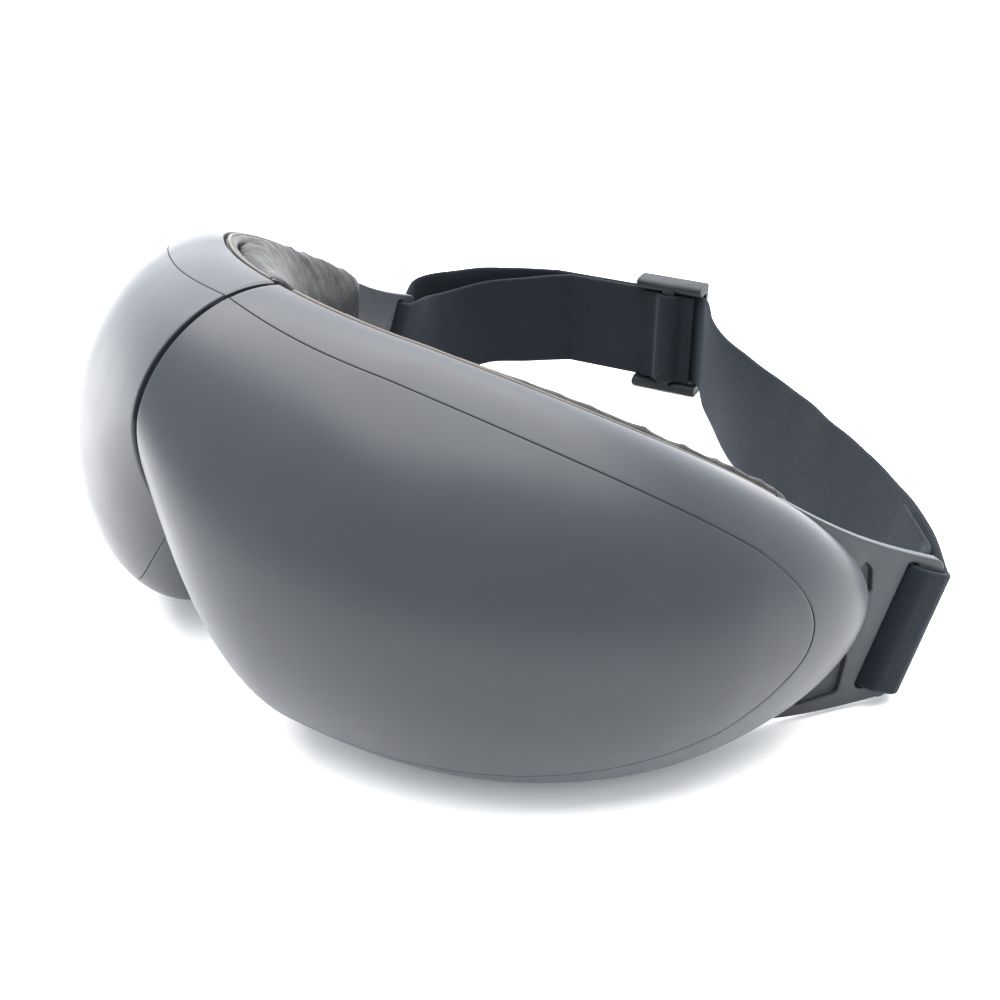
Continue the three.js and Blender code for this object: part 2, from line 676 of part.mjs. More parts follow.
function headStrap() {
  const left = barOf(1);
  const right = barOf(-1);
  const tail = [[75.3, 121.9, 16.2], [84.8, 115.2, 16.5], [91.4, 109.4, 17]];
  const start = { centre: new THREE.Vector3(...tail[0]), up: left.up };
  const leftLoop = aroundBar(left, 262, 8, 11);
  const exit = leftLoop[leftLoop.length - 1].centre.toArray();
  const rearRun = [
    exit, [86, 117.5, 16.3], [66, 130.8, 15.4], [32, 145.8, 14.9], [0, 157.3, 14.8],
    [-14, 163.2, 15.4], [-27, 169.8, 17], onStretch(0.6, 1.9), onStretch(4.4, 0.2),
  ];
  const outerRun = [
    onStretch(STRETCH.long, 0), [-94, 147.5, 19], [-102, 131, 19.8], [-104.4, 116, 19.2],
    aroundBar(right, 66, 90, 2)[0].centre.toArray(),
  ];
  const rightLoop = aroundBar(right, 66, 262, 11);
  const innerStart = rightLoop[rightLoop.length - 1].centre.toArray();
  const innerRun = [
    innerStart, [-96, 121, 17.2], [-93.6, 136, 18.4], [-85, 150, 18.5], onStretch(STRETCH.long - 6, 1),
  ];
  const stretch = (from, to, inward, steps) => {
    const stations = [];
    for (let i = 0; i <= steps; i += 1) {
      const place = new THREE.Vector3(...onStretch(from + (to - from) * i / steps, inward));
      stations.push({ centre: place, up: LEVEL_UP });
    }
    return stations;
  };
  return ribbon([
    start, ...span([...tail, leftLoop[0].centre.toArray()], 6, left.up, left.up, 1), ...leftLoop,
    ...span(rearRun, 20, left.up, LEVEL_UP, 0.6), ...stretch(7, STRETCH.long, 0, 7),
    ...span(outerRun, 10, LEVEL_UP, right.up), ...rightLoop,
    ...span(innerRun, 12, right.up, LEVEL_UP), ...stretch(STRETCH.long - 6, 6, 1, 6),
  ]);
}

// Two end bars outside the strap, one middle bar inside it, joined over and under it.
function strapSlider() {
  const along = new THREE.Vector3(-STRETCH.toX, -STRETCH.toY, 0);
  const outward = new THREE.Vector3(STRETCH.toY, -STRETCH.toX, 0);
  const centre = new THREE.Vector3(...onStretch(2 + SLIDER.long / 2, 0.5));
  const basis = new THREE.Matrix4().makeBasis(along, outward, LEVEL_UP).setPosition(centre);
  const at = (x, y, z) => basis.clone().multiply(new THREE.Matrix4().makeTranslation(x, y, z));
  const offset = (SLIDER.inside + SLIDER.plate) / 2;
  const railZ = (SLIDER.tall - SLIDER.rail) / 2;
  const depth = SLIDER.inside + 2 * SLIDER.plate;
  let slider = block(SLIDER.long, depth, SLIDER.rail, at(0, 0, railZ));
  slider = slider.add(block(SLIDER.long, depth, SLIDER.rail, at(0, 0, -railZ)));
  const endX = (SLIDER.long - SLIDER.bar) / 2;
  for (const x of [-endX, endX]) {
    slider = slider.add(block(SLIDER.bar, SLIDER.plate, SLIDER.tall - 1, at(x, offset, 0)));
  }
  return slider.add(block(SLIDER.bar + 1, SLIDER.plate, SLIDER.tall - 1, at(0, -offset, 0)));
}

// ---- assembly ----
const mask = new THREE.Group();
mask.rotation.x = -LEAN;
mask.position.z = LIFT;

function addTo(group, name, geometry, look) {
  const mesh = new THREE.Mesh(geometry, look);
  mesh.name = name;
  group.add(mesh);
}

function addPair(name, geometry, look) {
  addTo(mask, `left_${name}`, geometry, look);
  addTo(mask, `right_${name}`, mirrored(geometry), look);
}

addTo(mask, 'left_front_shell', shellGeometry, softTouch);
addTo(mask, 'right_front_shell', mirrored(geometryOf(rightShell())), softTouch);
addPair('face_panel', geometryOf(facePanel()), panelGrey);
addPair('rear_frame', frameGeometry, frameBlack);
addPair('face_cushion', cushionGeometry, leather);
addPair('eye_pad', geometryOf(eyePad()), leather);
addPair('airbag', geometryOf(airbag()), clearVinyl);
addPair('heating_film', geometryOf(heatingFilm()), copperFilm);
addPair('strap_bracket', bracketGeometry, rubber);
addPair('speaker', geometryOf(speaker()), frameBlack);
addPair('vibration_motor', geometryOf(vibrationMotor('motor')), steel);
addPair('vibration_weight', geometryOf(vibrationMotor('weight')), steel);
SCREWS.forEach(([s, z], i) => addPair(`screw_${i + 1}`, geometryOf(screw(s, z)), steel));

addTo(mask, 'left_hinge_leaf', geometryOf(hingeLeaf(0)), steel);
addTo(mask, 'right_hinge_leaf', mirrored(geometryOf(hingeLeaf(1))), steel);
addTo(mask, 'hinge_pin', geometryOf(hingePin()), steel);
addTo(mask, 'hinge_cover', geometryOf(hingeCover()), frameBlack);
addTo(mask, 'bridge_cover', geometryOf(bridgeCover()), leather);
addTo(mask, 'battery', geometryOf(battery()), cellBlue);
addTo(mask, 'main_circuit_board', geometryOf(mainBoard()), boardGreen);
addTo(mask, 'pump_motor', mirrored(geometryOf(pumpPart(PUMP.motorRadius, PUMP.motorLong, -9, false))), steel);
addTo(mask, 'pump_head', mirrored(geometryOf(pumpPart(PUMP.headRadius, PUMP.headLong, 8, true))), frameBlack);
addTo(mask, 'air_valve', mirrored(geometryOf(airValve())), frameBlack);
addTo(mask, 'usb_port', mirrored(geometryOf(usbPort())), steel);
addTo(mask, 'charge_board', mirrored(geometryOf(chargeBoard())), boardGreen);
addTo(mask, 'power_button', mirrored(geometryOf(powerButton())), panelGrey);
addTo(mask, 'button_switch', mirrored(geometryOf(buttonSwitch())), frameBlack);
addTo(mask, 'wire_harness', geometryOf(crossing(1.3, 13, 6, 33)), redWire);
addTo(mask, 'air_tube', geometryOf(crossing(1.9, 3.5, 6, 33)), clearVinyl);

const eyeMassager = new THREE.Group();
eyeMassager.add(mask);
addTo(eyeMassager, 'head_strap', geometryOf(headStrap()), webbing);
addTo(eyeMassager, 'strap_slider', geometryOf(strapSlider()), frameBlack);

// The origin is under the middle of the whole object.
const whole = new THREE.Box3().setFromObject(eyeMassager, true);
eyeMassager.position.y = -(whole.min.y + whole.max.y) / 2;

export default eyeMassager;
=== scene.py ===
# Looks for the eye massager mask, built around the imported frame. Shapes are worked in millimetres along
# the mask's rim (s from the fold, z up, d outward), then placed in the frame in metres.
import json
import math

import bmesh
import bpy
import numpy as np
from mathutils import Matrix, Vector


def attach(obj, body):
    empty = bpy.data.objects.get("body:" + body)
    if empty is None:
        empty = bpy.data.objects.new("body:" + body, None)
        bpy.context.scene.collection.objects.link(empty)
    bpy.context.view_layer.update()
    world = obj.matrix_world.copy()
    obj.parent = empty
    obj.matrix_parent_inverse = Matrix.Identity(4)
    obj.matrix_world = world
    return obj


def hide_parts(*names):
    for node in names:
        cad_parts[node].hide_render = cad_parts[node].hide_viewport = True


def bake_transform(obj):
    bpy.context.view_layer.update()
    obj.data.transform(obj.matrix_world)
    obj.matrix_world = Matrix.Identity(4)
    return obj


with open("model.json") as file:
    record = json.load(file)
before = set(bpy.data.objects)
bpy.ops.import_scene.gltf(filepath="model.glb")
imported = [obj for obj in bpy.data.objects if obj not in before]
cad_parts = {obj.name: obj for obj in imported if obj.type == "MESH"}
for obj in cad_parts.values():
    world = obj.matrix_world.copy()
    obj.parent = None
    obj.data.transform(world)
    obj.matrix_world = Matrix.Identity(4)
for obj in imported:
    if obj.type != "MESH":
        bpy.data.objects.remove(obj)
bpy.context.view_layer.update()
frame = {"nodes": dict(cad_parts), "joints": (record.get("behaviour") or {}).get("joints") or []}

MM = 0.001
DEG = math.pi / 180

# ---- driving dimensions of the mask, in millimetres ----
LEAN = 14 * DEG  # how far the mask leans back
RADIUS, TURN, END = 85.0, 70 * DEG, 142.5  # the rim bends, then runs straight to the shell's end
ARC = RADIUS * TURN
SEAM = 0.7  # from the middle of the fold to each half's edge
WALL = 3.0
TOP, TOP_AT_SIDE, TOP_RUN = 42.0, 41.0, 50.0
NOSE, BOTTOM, NOSE_RUN = -12.0, -43.5, 30.0
DEPTH, DEPTH_AT_SIDE, SIDE_RUN = 28.0, 29.0, 55.0
ROUNDNESS, TIP_HEIGHT = 1.85, 5.0
TOP_TAPER, TOP_POWER = 38.0, 1.55
BOTTOM_TAPER, BOTTOM_POWER, DEPTH_TAPER = 48.0, 2.0, 53.0
NOSE_FULL, NOSE_FULL_TURN = 0.3, 1.2  # how much squarer the shell is below, beside the nose
PANEL_TIP, PANEL_THICK, PANEL_GAP = 119.5, 1.5, 0.12
PANEL_MIDDLE, PANEL_RISE, PANEL_ABOVE, PANEL_BELOW = 2 * DEG, 14 * DEG, 63 * DEG, 64 * DEG
HINGE_Y, HINGE_Z = 1.0, 15.0
EYE_S, EYE_Z, EYE_WIDE, EYE_TALL = 38.0, -3.0, 22.0, 22.0
STRAP_WIDE, STRAP_THICK, STRAP_LOOP, LAYER_STEP = 29.5, 1.5, 3.3, 1.86
SIDES = ((1, "left", "root"), (-1, "right", "right_half"))  # each half's side, name and body

# The hinge's place in the frame fixes where the drawn mask stands.
fold = next(j for j in frame["joints"] if j["name"] == "mask_fold")
LEANED = Matrix.Rotation(-LEAN, 3, "X")
SHIFT = Vector(fold["pos_m"]) - LEANED @ Vector((0, HINGE_Y * MM, HINGE_Z * MM))


# ---- the mask's curves ----
def smooth(t):
    t = np.clip(t, 0, 1)
    return t * t * (3 - 2 * t)


def bend(s, z, d):
    """Upright mask points, in mm, from rim distances."""
    s, z, d = np.broadcast_arrays(*(np.asarray(v, float) for v in (s, z, d)))
    turned = np.minimum(s / RADIUS, TURN)
    beyond = np.maximum(s - ARC, 0)
    reach = RADIUS + d
    x = reach * np.sin(turned) + beyond * np.cos(turned)
    y = RADIUS - reach * np.cos(turned) + beyond * np.sin(turned)
    return np.stack([x, y, z], -1)


def lengths_along(points):
    """How far each point lies from the first one, along the line through them."""
    return np.concatenate([[0], np.cumsum(np.linalg.norm(np.diff(points, axis=0), axis=1))])


def evenly(points, count, endpoint=True):
    """Points an equal way apart along the line through the given ones."""
    length = lengths_along(points)
    even = np.linspace(0, length[-1], count, endpoint=endpoint)
    return np.stack([np.interp(even, length, points[:, i]) for i in range(points.shape[1])], 1)


def closing(s, end, start, power):
    """A factor that falls from 1 at start to 0 at end."""
    t = np.clip((s - start) / (end - start), 0, 1)
    return np.clip(1 - t**power, 0, 1) ** (1 / power)


def section(s, inset=0.0):
    """The shell's top, bottom and depth at s."""
    run = np.maximum(s, 0)
    end = END - inset
    top = TOP + (TOP_AT_SIDE - TOP) * smooth(run / TOP_RUN) - inset
    notch = np.sin(np.pi / 2 * np.minimum(run / NOSE_RUN, 1))
    bottom = NOSE + (BOTTOM - NOSE) * notch + inset
    depth = DEPTH + (DEPTH_AT_SIDE - DEPTH) * smooth(run / SIDE_RUN) - inset
    top = TIP_HEIGHT + (top - TIP_HEIGHT) * closing(run, end, TOP_TAPER, TOP_POWER)
    bottom = TIP_HEIGHT + (bottom - TIP_HEIGHT) * closing(run, end, BOTTOM_TAPER, BOTTOM_POWER)
    return top, bottom, depth * closing(run, end, DEPTH_TAPER, 2)


def skin(s, angle, inset=0.0):
    """Upright points on the shell's outside, or inset from it."""
    top, bottom, depth = section(s, inset)
    power = 2 / ROUNDNESS
    fuller = NOSE_FULL * smooth(1 - s / NOSE_RUN) * smooth(-angle / NOSE_FULL_TURN)
    out = np.clip(np.cos(angle), 0, 1) ** (power * (1 - fuller))
    up = np.sign(np.sin(angle)) * np.abs(np.sin(angle)) ** power
    return bend(s, (top + bottom) / 2 + (top - bottom) / 2 * up, depth * out)


def to_frame(points, side=1):
    """Upright mask points in mm to the frame in metres; side -1 is the wearer's right."""
    flat = np.asarray(points, float).reshape(-1, 3) * [side * MM, MM, MM]
    return flat @ np.array(LEANED).T + np.array(SHIFT)


# ---- mesh building ----
def mesh_object(name, points, faces, sharp=35, weld=2e-6, lengths=None):
    """A smooth-shaded object; lengths, where given, is the map of its face corners."""
    mesh = bpy.data.meshes.new(name)
    mesh.from_pydata([tuple(p) for p in points], [], faces)
    if lengths is not None:
        mesh.uv_layers.new(name="lengths").data.foreach_set("uv", lengths)
    work = bmesh.new()
    work.from_mesh(mesh)
    if weld:
        bmesh.ops.remove_doubles(work, verts=work.verts, dist=weld)
        bmesh.ops.dissolve_degenerate(work, dist=weld / 2, edges=work.edges)
    bmesh.ops.recalc_face_normals(work, faces=work.faces)
    work.to_mesh(mesh)
    work.free()
    mesh.shade_smooth()
    mesh.set_sharp_from_angle(angle=sharp * DEG)
    thing = bpy.data.objects.new(name, mesh)
    bpy.context.scene.collection.objects.link(thing)
    return thing


def grid_faces(rows, columns, start=0, close=False):
    """Quads over rows of points; close joins the last column to the first."""
    faces = []
    for i in range(rows - 1):
        for j in range(columns if close else columns - 1):
            k = (j + 1) % columns
            a, b = start + i * columns, start + (i + 1) * columns
            faces.append((a + j, b + j, b + k, a + k))
    return faces


def slab_parts(front, back, close=False):
    """Points and faces of a closed slab between two grids of points with the same shape."""
    rows, columns = front.shape[:2]
    count = rows * columns
    points = np.concatenate([front.reshape(-1, 3), back.reshape(-1, 3)])
    faces = grid_faces(rows, columns, 0, close)
    faces += [tuple(reversed(f)) for f in grid_faces(rows, columns, count, close)]
    last = (rows - 1) * columns
    for j in range(columns if close else columns - 1):
        k = (j + 1) % columns
        faces.append((j, k, count + k, count + j))
        faces.append((last + k, last + j, count + last + j, count + last + k))
    if not close:
        for i in range(rows - 1):
            a, b = i * columns, (i + 1) * columns
            faces.append((b, a, count + a, count + b))
            a, b = a + columns - 1, b + columns - 1
            faces.append((a, b, count + b, count + a))
    return points, faces


def joined(*parts):
    """Points and faces of several closed solids as one mesh's worth."""
    points, faces, start = [], [], 0
    for some, theirs in parts:
        points.append(some)
        faces += [tuple(start + i for i in f) for f in theirs]
        start += len(some)
    return np.concatenate(points), faces


def sweep_parts(rings, close=False):
    """A bar or loop through rings of points; open ends are capped."""
    rows, columns = rings.shape[:2]
    points = rings.reshape(-1, 3)
    faces = grid_faces(rows, columns, 0, True)
    if close:
        last = (rows - 1) * columns
        faces += [(last + j, j, (j + 1) % columns, last + (j + 1) % columns) for j in range(columns)]
    else:
        faces.append(tuple(range(columns)))
        faces.append(tuple(reversed(range((rows - 1) * columns, rows * columns))))
    return points, faces


def tube_parts(path, radius, sides=8):
    """A round bar along a path of points, in the path's own units."""
    path = np.asarray(path, float)
    ahead = np.gradient(path, axis=0)
    ahead /= np.linalg.norm(ahead, axis=1)[:, None]
    side = np.cross(ahead, [0.12, 0.23, 0.97])
    side /= np.linalg.norm(side, axis=1)[:, None]
    up = np.cross(side, ahead)
    turn = np.linspace(0, 2 * np.pi, sides, endpoint=False)[:, None]
    rings = path[:, None] + radius * (
        np.cos(turn)[None] * side[:, None] + np.sin(turn)[None] * up[:, None]
    )
    return sweep_parts(rings)


def modify(thing, kind, **settings):
    """Adds a modifier with its settings."""
    made = thing.modifiers.new(kind.lower(), kind)
    for key, value in settings.items():
        setattr(made, key, value)
    return made


def apply_modifiers(thing, sharp=35):
    graph = bpy.context.evaluated_depsgraph_get()
    mesh = bpy.data.meshes.new_from_object(thing.evaluated_get(graph))
    thing.modifiers.clear()
    thing.data = mesh
    mesh.shade_smooth()
    mesh.set_sharp_from_angle(angle=sharp * DEG)
    return thing


def bevelled(thing, width, segments, limit, sharp=35):
    """Rounds the edges that turn by more than the limit, in degrees."""
    modify(thing, "BEVEL", width=width, segments=segments, limit_method="ANGLE", angle_limit=limit * DEG)
    return apply_modifiers(thing, sharp)


def place(thing, body, slot, look, *nodes):
    """Rides and colours a piece, and lets it stand for its CAD nodes."""
    thing.data.materials.clear()
    thing.data.materials.append(LOOKS[look])
    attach(thing, body)
    if nodes:
        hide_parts(*nodes)
    return thing


# ---- materials: every one is procedural, in object coordinates or the strap's own lengths ----
def fill(node, **values):
    """Sets a node's inputs; an underscore stands for the space in an input's name."""
    for key, value in values.items():
        node.inputs[key.replace("_", " ")].default_value = value


class Look:
    """One material under construction."""

    def __init__(self, name, colour, roughness, metallic=0.0, specular=0.5):
        self.material = bpy.data.materials.new(name)
        self.material.use_nodes = True
        self.tree = self.material.node_tree
        self.shader = self.tree.nodes["Principled BSDF"]
        fill(self.shader, Base_Color=(*colour, 1), Roughness=roughness, Metallic=metallic)
        fill(self.shader, Specular_IOR_Level=specular)
        self.normal = None
        self.where = self.node("ShaderNodeTexCoord").outputs["Object"]

    def node(self, kind, **settings):
        made = self.tree.nodes.new(kind)
        for key, value in settings.items():
            setattr(made, key, value)
        return made

    def link(self, source, target):
        self.tree.links.new(source, target)

    def noise(self, size_mm, detail=3.0, rough=0.55, stretch=None):
        """Soft random patches about size_mm across."""
        texture = self.node("ShaderNodeTexNoise")
        fill(texture, Scale=1000 / size_mm, Detail=detail, Roughness=rough)
        source = self.where
        if stretch:
            mapping = self.node("ShaderNodeMapping")
            fill(mapping, Scale=stretch)
            self.link(source, mapping.inputs["Vector"])
            source = mapping.outputs["Vector"]
        self.link(source, texture.inputs["Vector"])
        return texture.outputs["Fac"]

    def cells(self, size_mm, feature="F1"):
        """Pebbled cells about size_mm across."""
        texture = self.node("ShaderNodeTexVoronoi", feature=feature)
        fill(texture, Scale=1000 / size_mm)
        self.link(self.where, texture.inputs["Vector"])
        return texture.outputs["Distance"]

    def between(self, value, low, high, to_low=0.0, to_high=1.0):
        """Spreads a value from one range over another."""
        spread = self.node("ShaderNodeMapRange")
        fill(spread, From_Min=low, From_Max=high, To_Min=to_low, To_Max=to_high)
        self.link(value, spread.inputs["Value"])
        return spread.outputs["Result"]

    def math(self, operation, a, b=None):
        sum_node = self.node("ShaderNodeMath", operation=operation)
        for socket, value in zip(sum_node.inputs, (a, b)):
            if value is None:
                continue
            if isinstance(value, (int, float)):
                socket.default_value = value
            else:
                self.link(value, socket)
        return sum_node.outputs[0]

    def tint(self, factor, other):
        """Mixes the present colour towards another by a factor."""
        mix = self.node("ShaderNodeMix", data_type="RGBA")
        socket = self.shader.inputs["Base Color"]
        if socket.is_linked:
            self.link(socket.links[0].from_socket, mix.inputs["A"])
        else:
            mix.inputs["A"].default_value = socket.default_value
        mix.inputs["B"].default_value = (*other, 1)
        self.link(factor, mix.inputs["Factor"])
        self.link(mix.outputs["Result"], socket)

    def roughness(self, factor, low, high):
        self.link(self.between(factor, 0.3, 0.7, low, high), self.shader.inputs["Roughness"])

    def bump(self, height, depth_mm):
        """Adds relief on top of any relief before it."""
        bump = self.node("ShaderNodeBump")
        fill(bump, Distance=depth_mm * MM)
        self.link(height, bump.inputs["Height"])
        if self.normal:
            self.link(self.normal, bump.inputs["Normal"])
        self.normal = bump.outputs["Normal"]
        self.link(self.normal, self.shader.inputs["Normal"])

    def sheen(self, weight, roughness, colour):
        fill(self.shader, Sheen_Weight=weight, Sheen_Roughness=roughness, Sheen_Tint=(*colour, 1))


def shade(colour, by):
    return tuple(min(c * by, 1.0) for c in colour)


def soft_touch(name, colour, roughness):
    """Rubbery paint: broad highlight, faint handling marks and a fine sprayed grain."""
    look = Look(name, colour, roughness, specular=0.25)
    look.tint(look.between(look.noise(38, 2), 0.35, 0.7), shade(colour, 1.18))
    look.tint(look.between(look.noise(2.2, 4), 0.62, 0.8, 0, 0.35), shade(colour, 1.6))
    look.roughness(look.noise(24, 3), roughness - 0.035, roughness + 0.045)
    look.bump(look.noise(0.22, 2), 0.006)
    look.bump(look.noise(9, 2), 0.03)
    look.sheen(0.06, 0.45, (0.75, 0.83, 1.0))
    return look.material


def moulded(name, colour, roughness, grain_mm=0.35, depth_mm=0.02):
    """Moulded plastic or rubber with a fine spark-eroded grain and rubbed patches."""
    look = Look(name, colour, roughness, specular=0.2)
    look.tint(look.between(look.noise(14, 3), 0.4, 0.75), shade(colour, 1.35))
    look.roughness(look.noise(6, 4), roughness - 0.07, roughness + 0.06)
    look.bump(look.noise(grain_mm, 3, 0.7), depth_mm)
    return look.material


def leather(name, colour):
    """Soft artificial leather: pebbled grain, painted shade in the creases, a dull sheen."""
    look = Look(name, colour, 0.6, specular=0.15)
    grain = look.cells(0.75, "SMOOTH_F1")
    crease = look.between(look.cells(1.15, "DISTANCE_TO_EDGE"), 0.0, 0.14)
    look.tint(look.between(look.noise(11, 3), 0.35, 0.7), shade(colour, 1.5))
    # painted shade: the grain's creases are darkened where they would lie in shade
    look.tint(look.between(crease, 0, 1, 0.75, 0), shade(colour, 0.45))
    look.roughness(look.noise(4, 4), 0.42, 0.58)
    look.bump(look.noise(5, 3), 0.12)
    look.bump(crease, 0.035)
    look.bump(grain, 0.03)
    return look.material


def knit(name, colour):
    """Fine stretch knit: rows of small loops, with painted shade between the loops."""
    look = Look(name, colour, 0.85, specular=0.12)
    loops = look.cells(0.55)
    # painted shade: darker away from each loop's middle, in the hollows between the loops
    look.tint(look.between(loops, 0.15, 0.6), shade(colour, 0.4))
    look.tint(look.between(look.noise(7, 2), 0.4, 0.7, 0, 0.6), shade(colour, 1.5))
    look.bump(look.math("SUBTRACT", 1.0, loops), 0.09)
    look.bump(look.noise(2.4, 2), 0.05)
    look.sheen(0.5, 0.4, (0.8, 0.85, 1.0))
    return look.material


def metal(name, colour, roughness):
    """Plated steel with drawn lines and small dull spots."""
    look = Look(name, colour, roughness, 1.0)
    lines = look.noise(1.2, 4, 0.7, stretch=(1, 1, 9))
    look.tint(look.between(look.noise(2.5, 3), 0.5, 0.75), shade(colour, 0.7))
    look.roughness(lines, roughness - 0.08, roughness + 0.12)
    look.bump(lines, 0.006)
    return look.material


def circuit_board(name):
    look = Look(name, (0.012, 0.1, 0.04), 0.35)
    tracks = look.between(look.cells(2.6, "DISTANCE_TO_EDGE"), 0.03, 0.07)
    look.tint(look.between(tracks, 0, 1, 0.6, 0), (0.05, 0.26, 0.1))
    look.tint(look.between(look.cells(1.9), 0.1, 0.16, 1, 0), (0.6, 0.58, 0.5))
    look.bump(tracks, 0.03)
    return look.material


def clear_vinyl(name):
    look = Look(name, (0.5, 0.56, 0.6), 0.22)
    look.tint(look.between(look.noise(6, 3), 0.45, 0.75), (0.68, 0.72, 0.74))
    look.roughness(look.noise(3, 3), 0.15, 0.3)
    look.bump(look.noise(2.5, 3), 0.08)
    return look.material


def heating_film_look(name):
    """Copper meander printed between amber films."""
    look = Look(name, (0.36, 0.17, 0.05), 0.35)
    wave = look.node("ShaderNodeTexWave", wave_type="BANDS", bands_direction="Z")
    fill(wave, Scale=120, Distortion=0.6)
    look.link(look.where, wave.inputs["Vector"])
    track = look.between(wave.outputs["Fac"], 0.45, 0.6)
    look.tint(track, (0.75, 0.36, 0.16))
    look.bump(track, 0.03)
    return look.material


def wrapped(name, colour):
    """Shrink film over a cell, or wire insulation."""
    look = Look(name, colour, 0.3)
    look.tint(look.between(look.noise(5, 3), 0.45, 0.7), shade(colour, 1.5))
    look.roughness(look.noise(2, 3), 0.22, 0.4)
    look.bump(look.noise(1.6, 4, stretch=(1, 1, 0.2)), 0.04)
    return look.material


def webbing(name, colour):
    """Woven elastic: cords along the strap crossed by fine threads, with painted highlights on their
    crowns and painted shade between them. The strap's map is in metres.
    """
    look = Look(name, colour, 0.82, specular=0.12)
    spot = look.node("ShaderNodeUVMap", uv_map="lengths").outputs["UV"]
    apart = look.node("ShaderNodeSeparateXYZ")
    look.link(spot, apart.inputs["Vector"])
    along, across = apart.outputs["X"], apart.outputs["Y"]
    cord_mm, thread_mm = 0.95, 0.55
    cord = look.math("SINE", look.math("MULTIPLY", across, 2000 * math.pi / cord_mm))
    row = look.math("MULTIPLY", along, 2000 * math.pi / thread_mm)
    step = look.math("MULTIPLY", look.math("SIGN", cord), math.pi / 2)
    thread = look.math("SINE", look.math("ADD", row, step))
    weave = look.math("ADD", look.math("MULTIPLY", look.math("ABSOLUTE", cord), 0.55),
                      look.math("MULTIPLY", thread, 0.3))
    # painted highlight and shade: lighter on the raised cord and thread crowns, darker in the grooves,
    # following the weave's bump
    look.tint(look.between(weave, -0.2, 0.7), shade(colour, 1.9))
    look.tint(look.between(look.noise(9, 4), 0.5, 0.75, 0, 0.5), shade(colour, 1.6))
    look.bump(weave, 0.09)
    look.bump(look.noise(0.5, 3), 0.05)
    look.sheen(0.08, 0.5, (0.7, 0.8, 1.0))
    return look.material


LOOKS = {
    "shell": soft_touch("shell_paint", (0.0145, 0.0165, 0.0205), 0.37),
    "panel": soft_touch("panel_paint", (0.014, 0.016, 0.02), 0.36),
    "trim": moulded("rim_piping", (0.07, 0.061, 0.053), 0.5),
    "black": moulded("black_plastic", (0.007, 0.0075, 0.0085), 0.5),
    "bracket": soft_touch("bracket_rubber", (0.019, 0.021, 0.025), 0.46),
    "slider": moulded("slider_nylon", (0.004, 0.006, 0.008), 0.55, 0.5, 0.012),
    "leather": leather("cushion_leather", (0.0045, 0.005, 0.006)),
    "knit": knit("eye_pad_knit", (0.016, 0.016, 0.018)),
    "steel": metal("plated_steel", (0.6, 0.6, 0.62), 0.28),
    "board": circuit_board("board_green"),
    "vinyl": clear_vinyl("vinyl_film"),
    "film": heating_film_look("heater_film"),
    "cell": wrapped("cell_wrap", (0.03, 0.1, 0.32)),
    "wire": wrapped("wire_jacket", (0.3, 0.02, 0.015)),
    "webbing": webbing("elastic_webbing", (0.0022, 0.0033, 0.0049)),
    "thread": moulded("stitch_thread", (0.008, 0.01, 0.014), 0.7, 0.2, 0.03),
}


# ---- front shells ----
ROLL = 0.24  # how far edges are rounded over
LIP, LIP_IN, LIP_WIDE = 0.5, 0.8, 0.9  # the raised edge of the nose notch
RECESS = PANEL_THICK + 0.3  # how deep the step round the panel goes
BAND_BACK = PANEL_THICK + 0.34
LINER_FRONT = PANEL_THICK + 0.36
TIP_SHARE = 0.12  # of each half's turn that fans out to the tip of the shell


def rolled(distance):
    """How far an edge rounded over by ROLL drops, at a distance in from the edge."""
    inside = np.clip((ROLL - distance) / ROLL, 0, 1)
    return ROLL * (1 - np.sqrt(np.clip(1 - inside**2, 0, 1)))


def outline(turn, grow=0.0):
    """The panel's outline in (s, angle): turn 1 is above at the seam, 0 the tip, -1 below."""
    s = SEAM + (PANEL_TIP + grow - SEAM) * np.sin(np.pi / 2 * (1 - np.abs(turn)))
    width = np.sqrt(np.clip(1 - (s / (PANEL_TIP + grow)) ** 3, 0, 1))
    reach = np.where(turn > 0, PANEL_ABOVE, -PANEL_BELOW) + np.sign(turn) * grow * 0.03
    middle = PANEL_MIDDLE + PANEL_RISE * (s / PANEL_TIP) ** 4
    return s, middle + reach * width


def eased_ends(count, edges):
    """Values from 0 to 1 with the given extra ones close to both ends."""
    middle = np.linspace(edges[-1], 1 - edges[-1], count)
    return np.concatenate([[0], edges[:-1], middle, 1 - np.array(edges[:-1][::-1]), [1]])


def shell_band():
    """The shell's surface around the panel, out to the rim, as a closed slab."""
    turn = 1 - 2 * eased_ends(230, [0.0012, 0.003, 0.006])
    across = np.array([0, 0, 0.004, 0.009, 0.017, 0.03, 0.06, *np.linspace(0.12, 0.93, 15),
                       0.955, 0.97, 0.983, 0.993, 1.0])
    inner_s, inner_angle = outline(turn, PANEL_GAP)
    outer_share = np.clip((1 - np.abs(turn)) / (1 - TIP_SHARE), 0, 1)
    outer_s = SEAM + (END - SEAM) * np.sin(np.pi / 2 * outer_share)
    outer_angle = np.pi / 2 * np.clip(turn / TIP_SHARE, -1, 1)
    r = across[None, :]
    s = inner_s[:, None] * (1 - r) + outer_s[:, None] * r
    angle = inner_angle[:, None] * (1 - r) + outer_angle[:, None] * r
    width_mm = 15 + 8 * (1 - np.abs(turn[:, None]))
    drop = rolled(r * width_mm) + rolled((1 - r) * width_mm)
    drop[:, 0] = RECESS
    seam_gap = np.minimum(1 - np.abs(turn), 0.5)[:, None] * 150
    drop = drop + rolled(seam_gap)
    near_nose = smooth(1 - s / NOSE_RUN) * (turn[:, None] < 0)
    drop = drop - LIP * near_nose * np.exp(-(((1 - r) * width_mm - LIP_IN) / LIP_WIDE) ** 2)
    return slab_parts(skin(s, angle, drop), skin(s, angle, BAND_BACK))


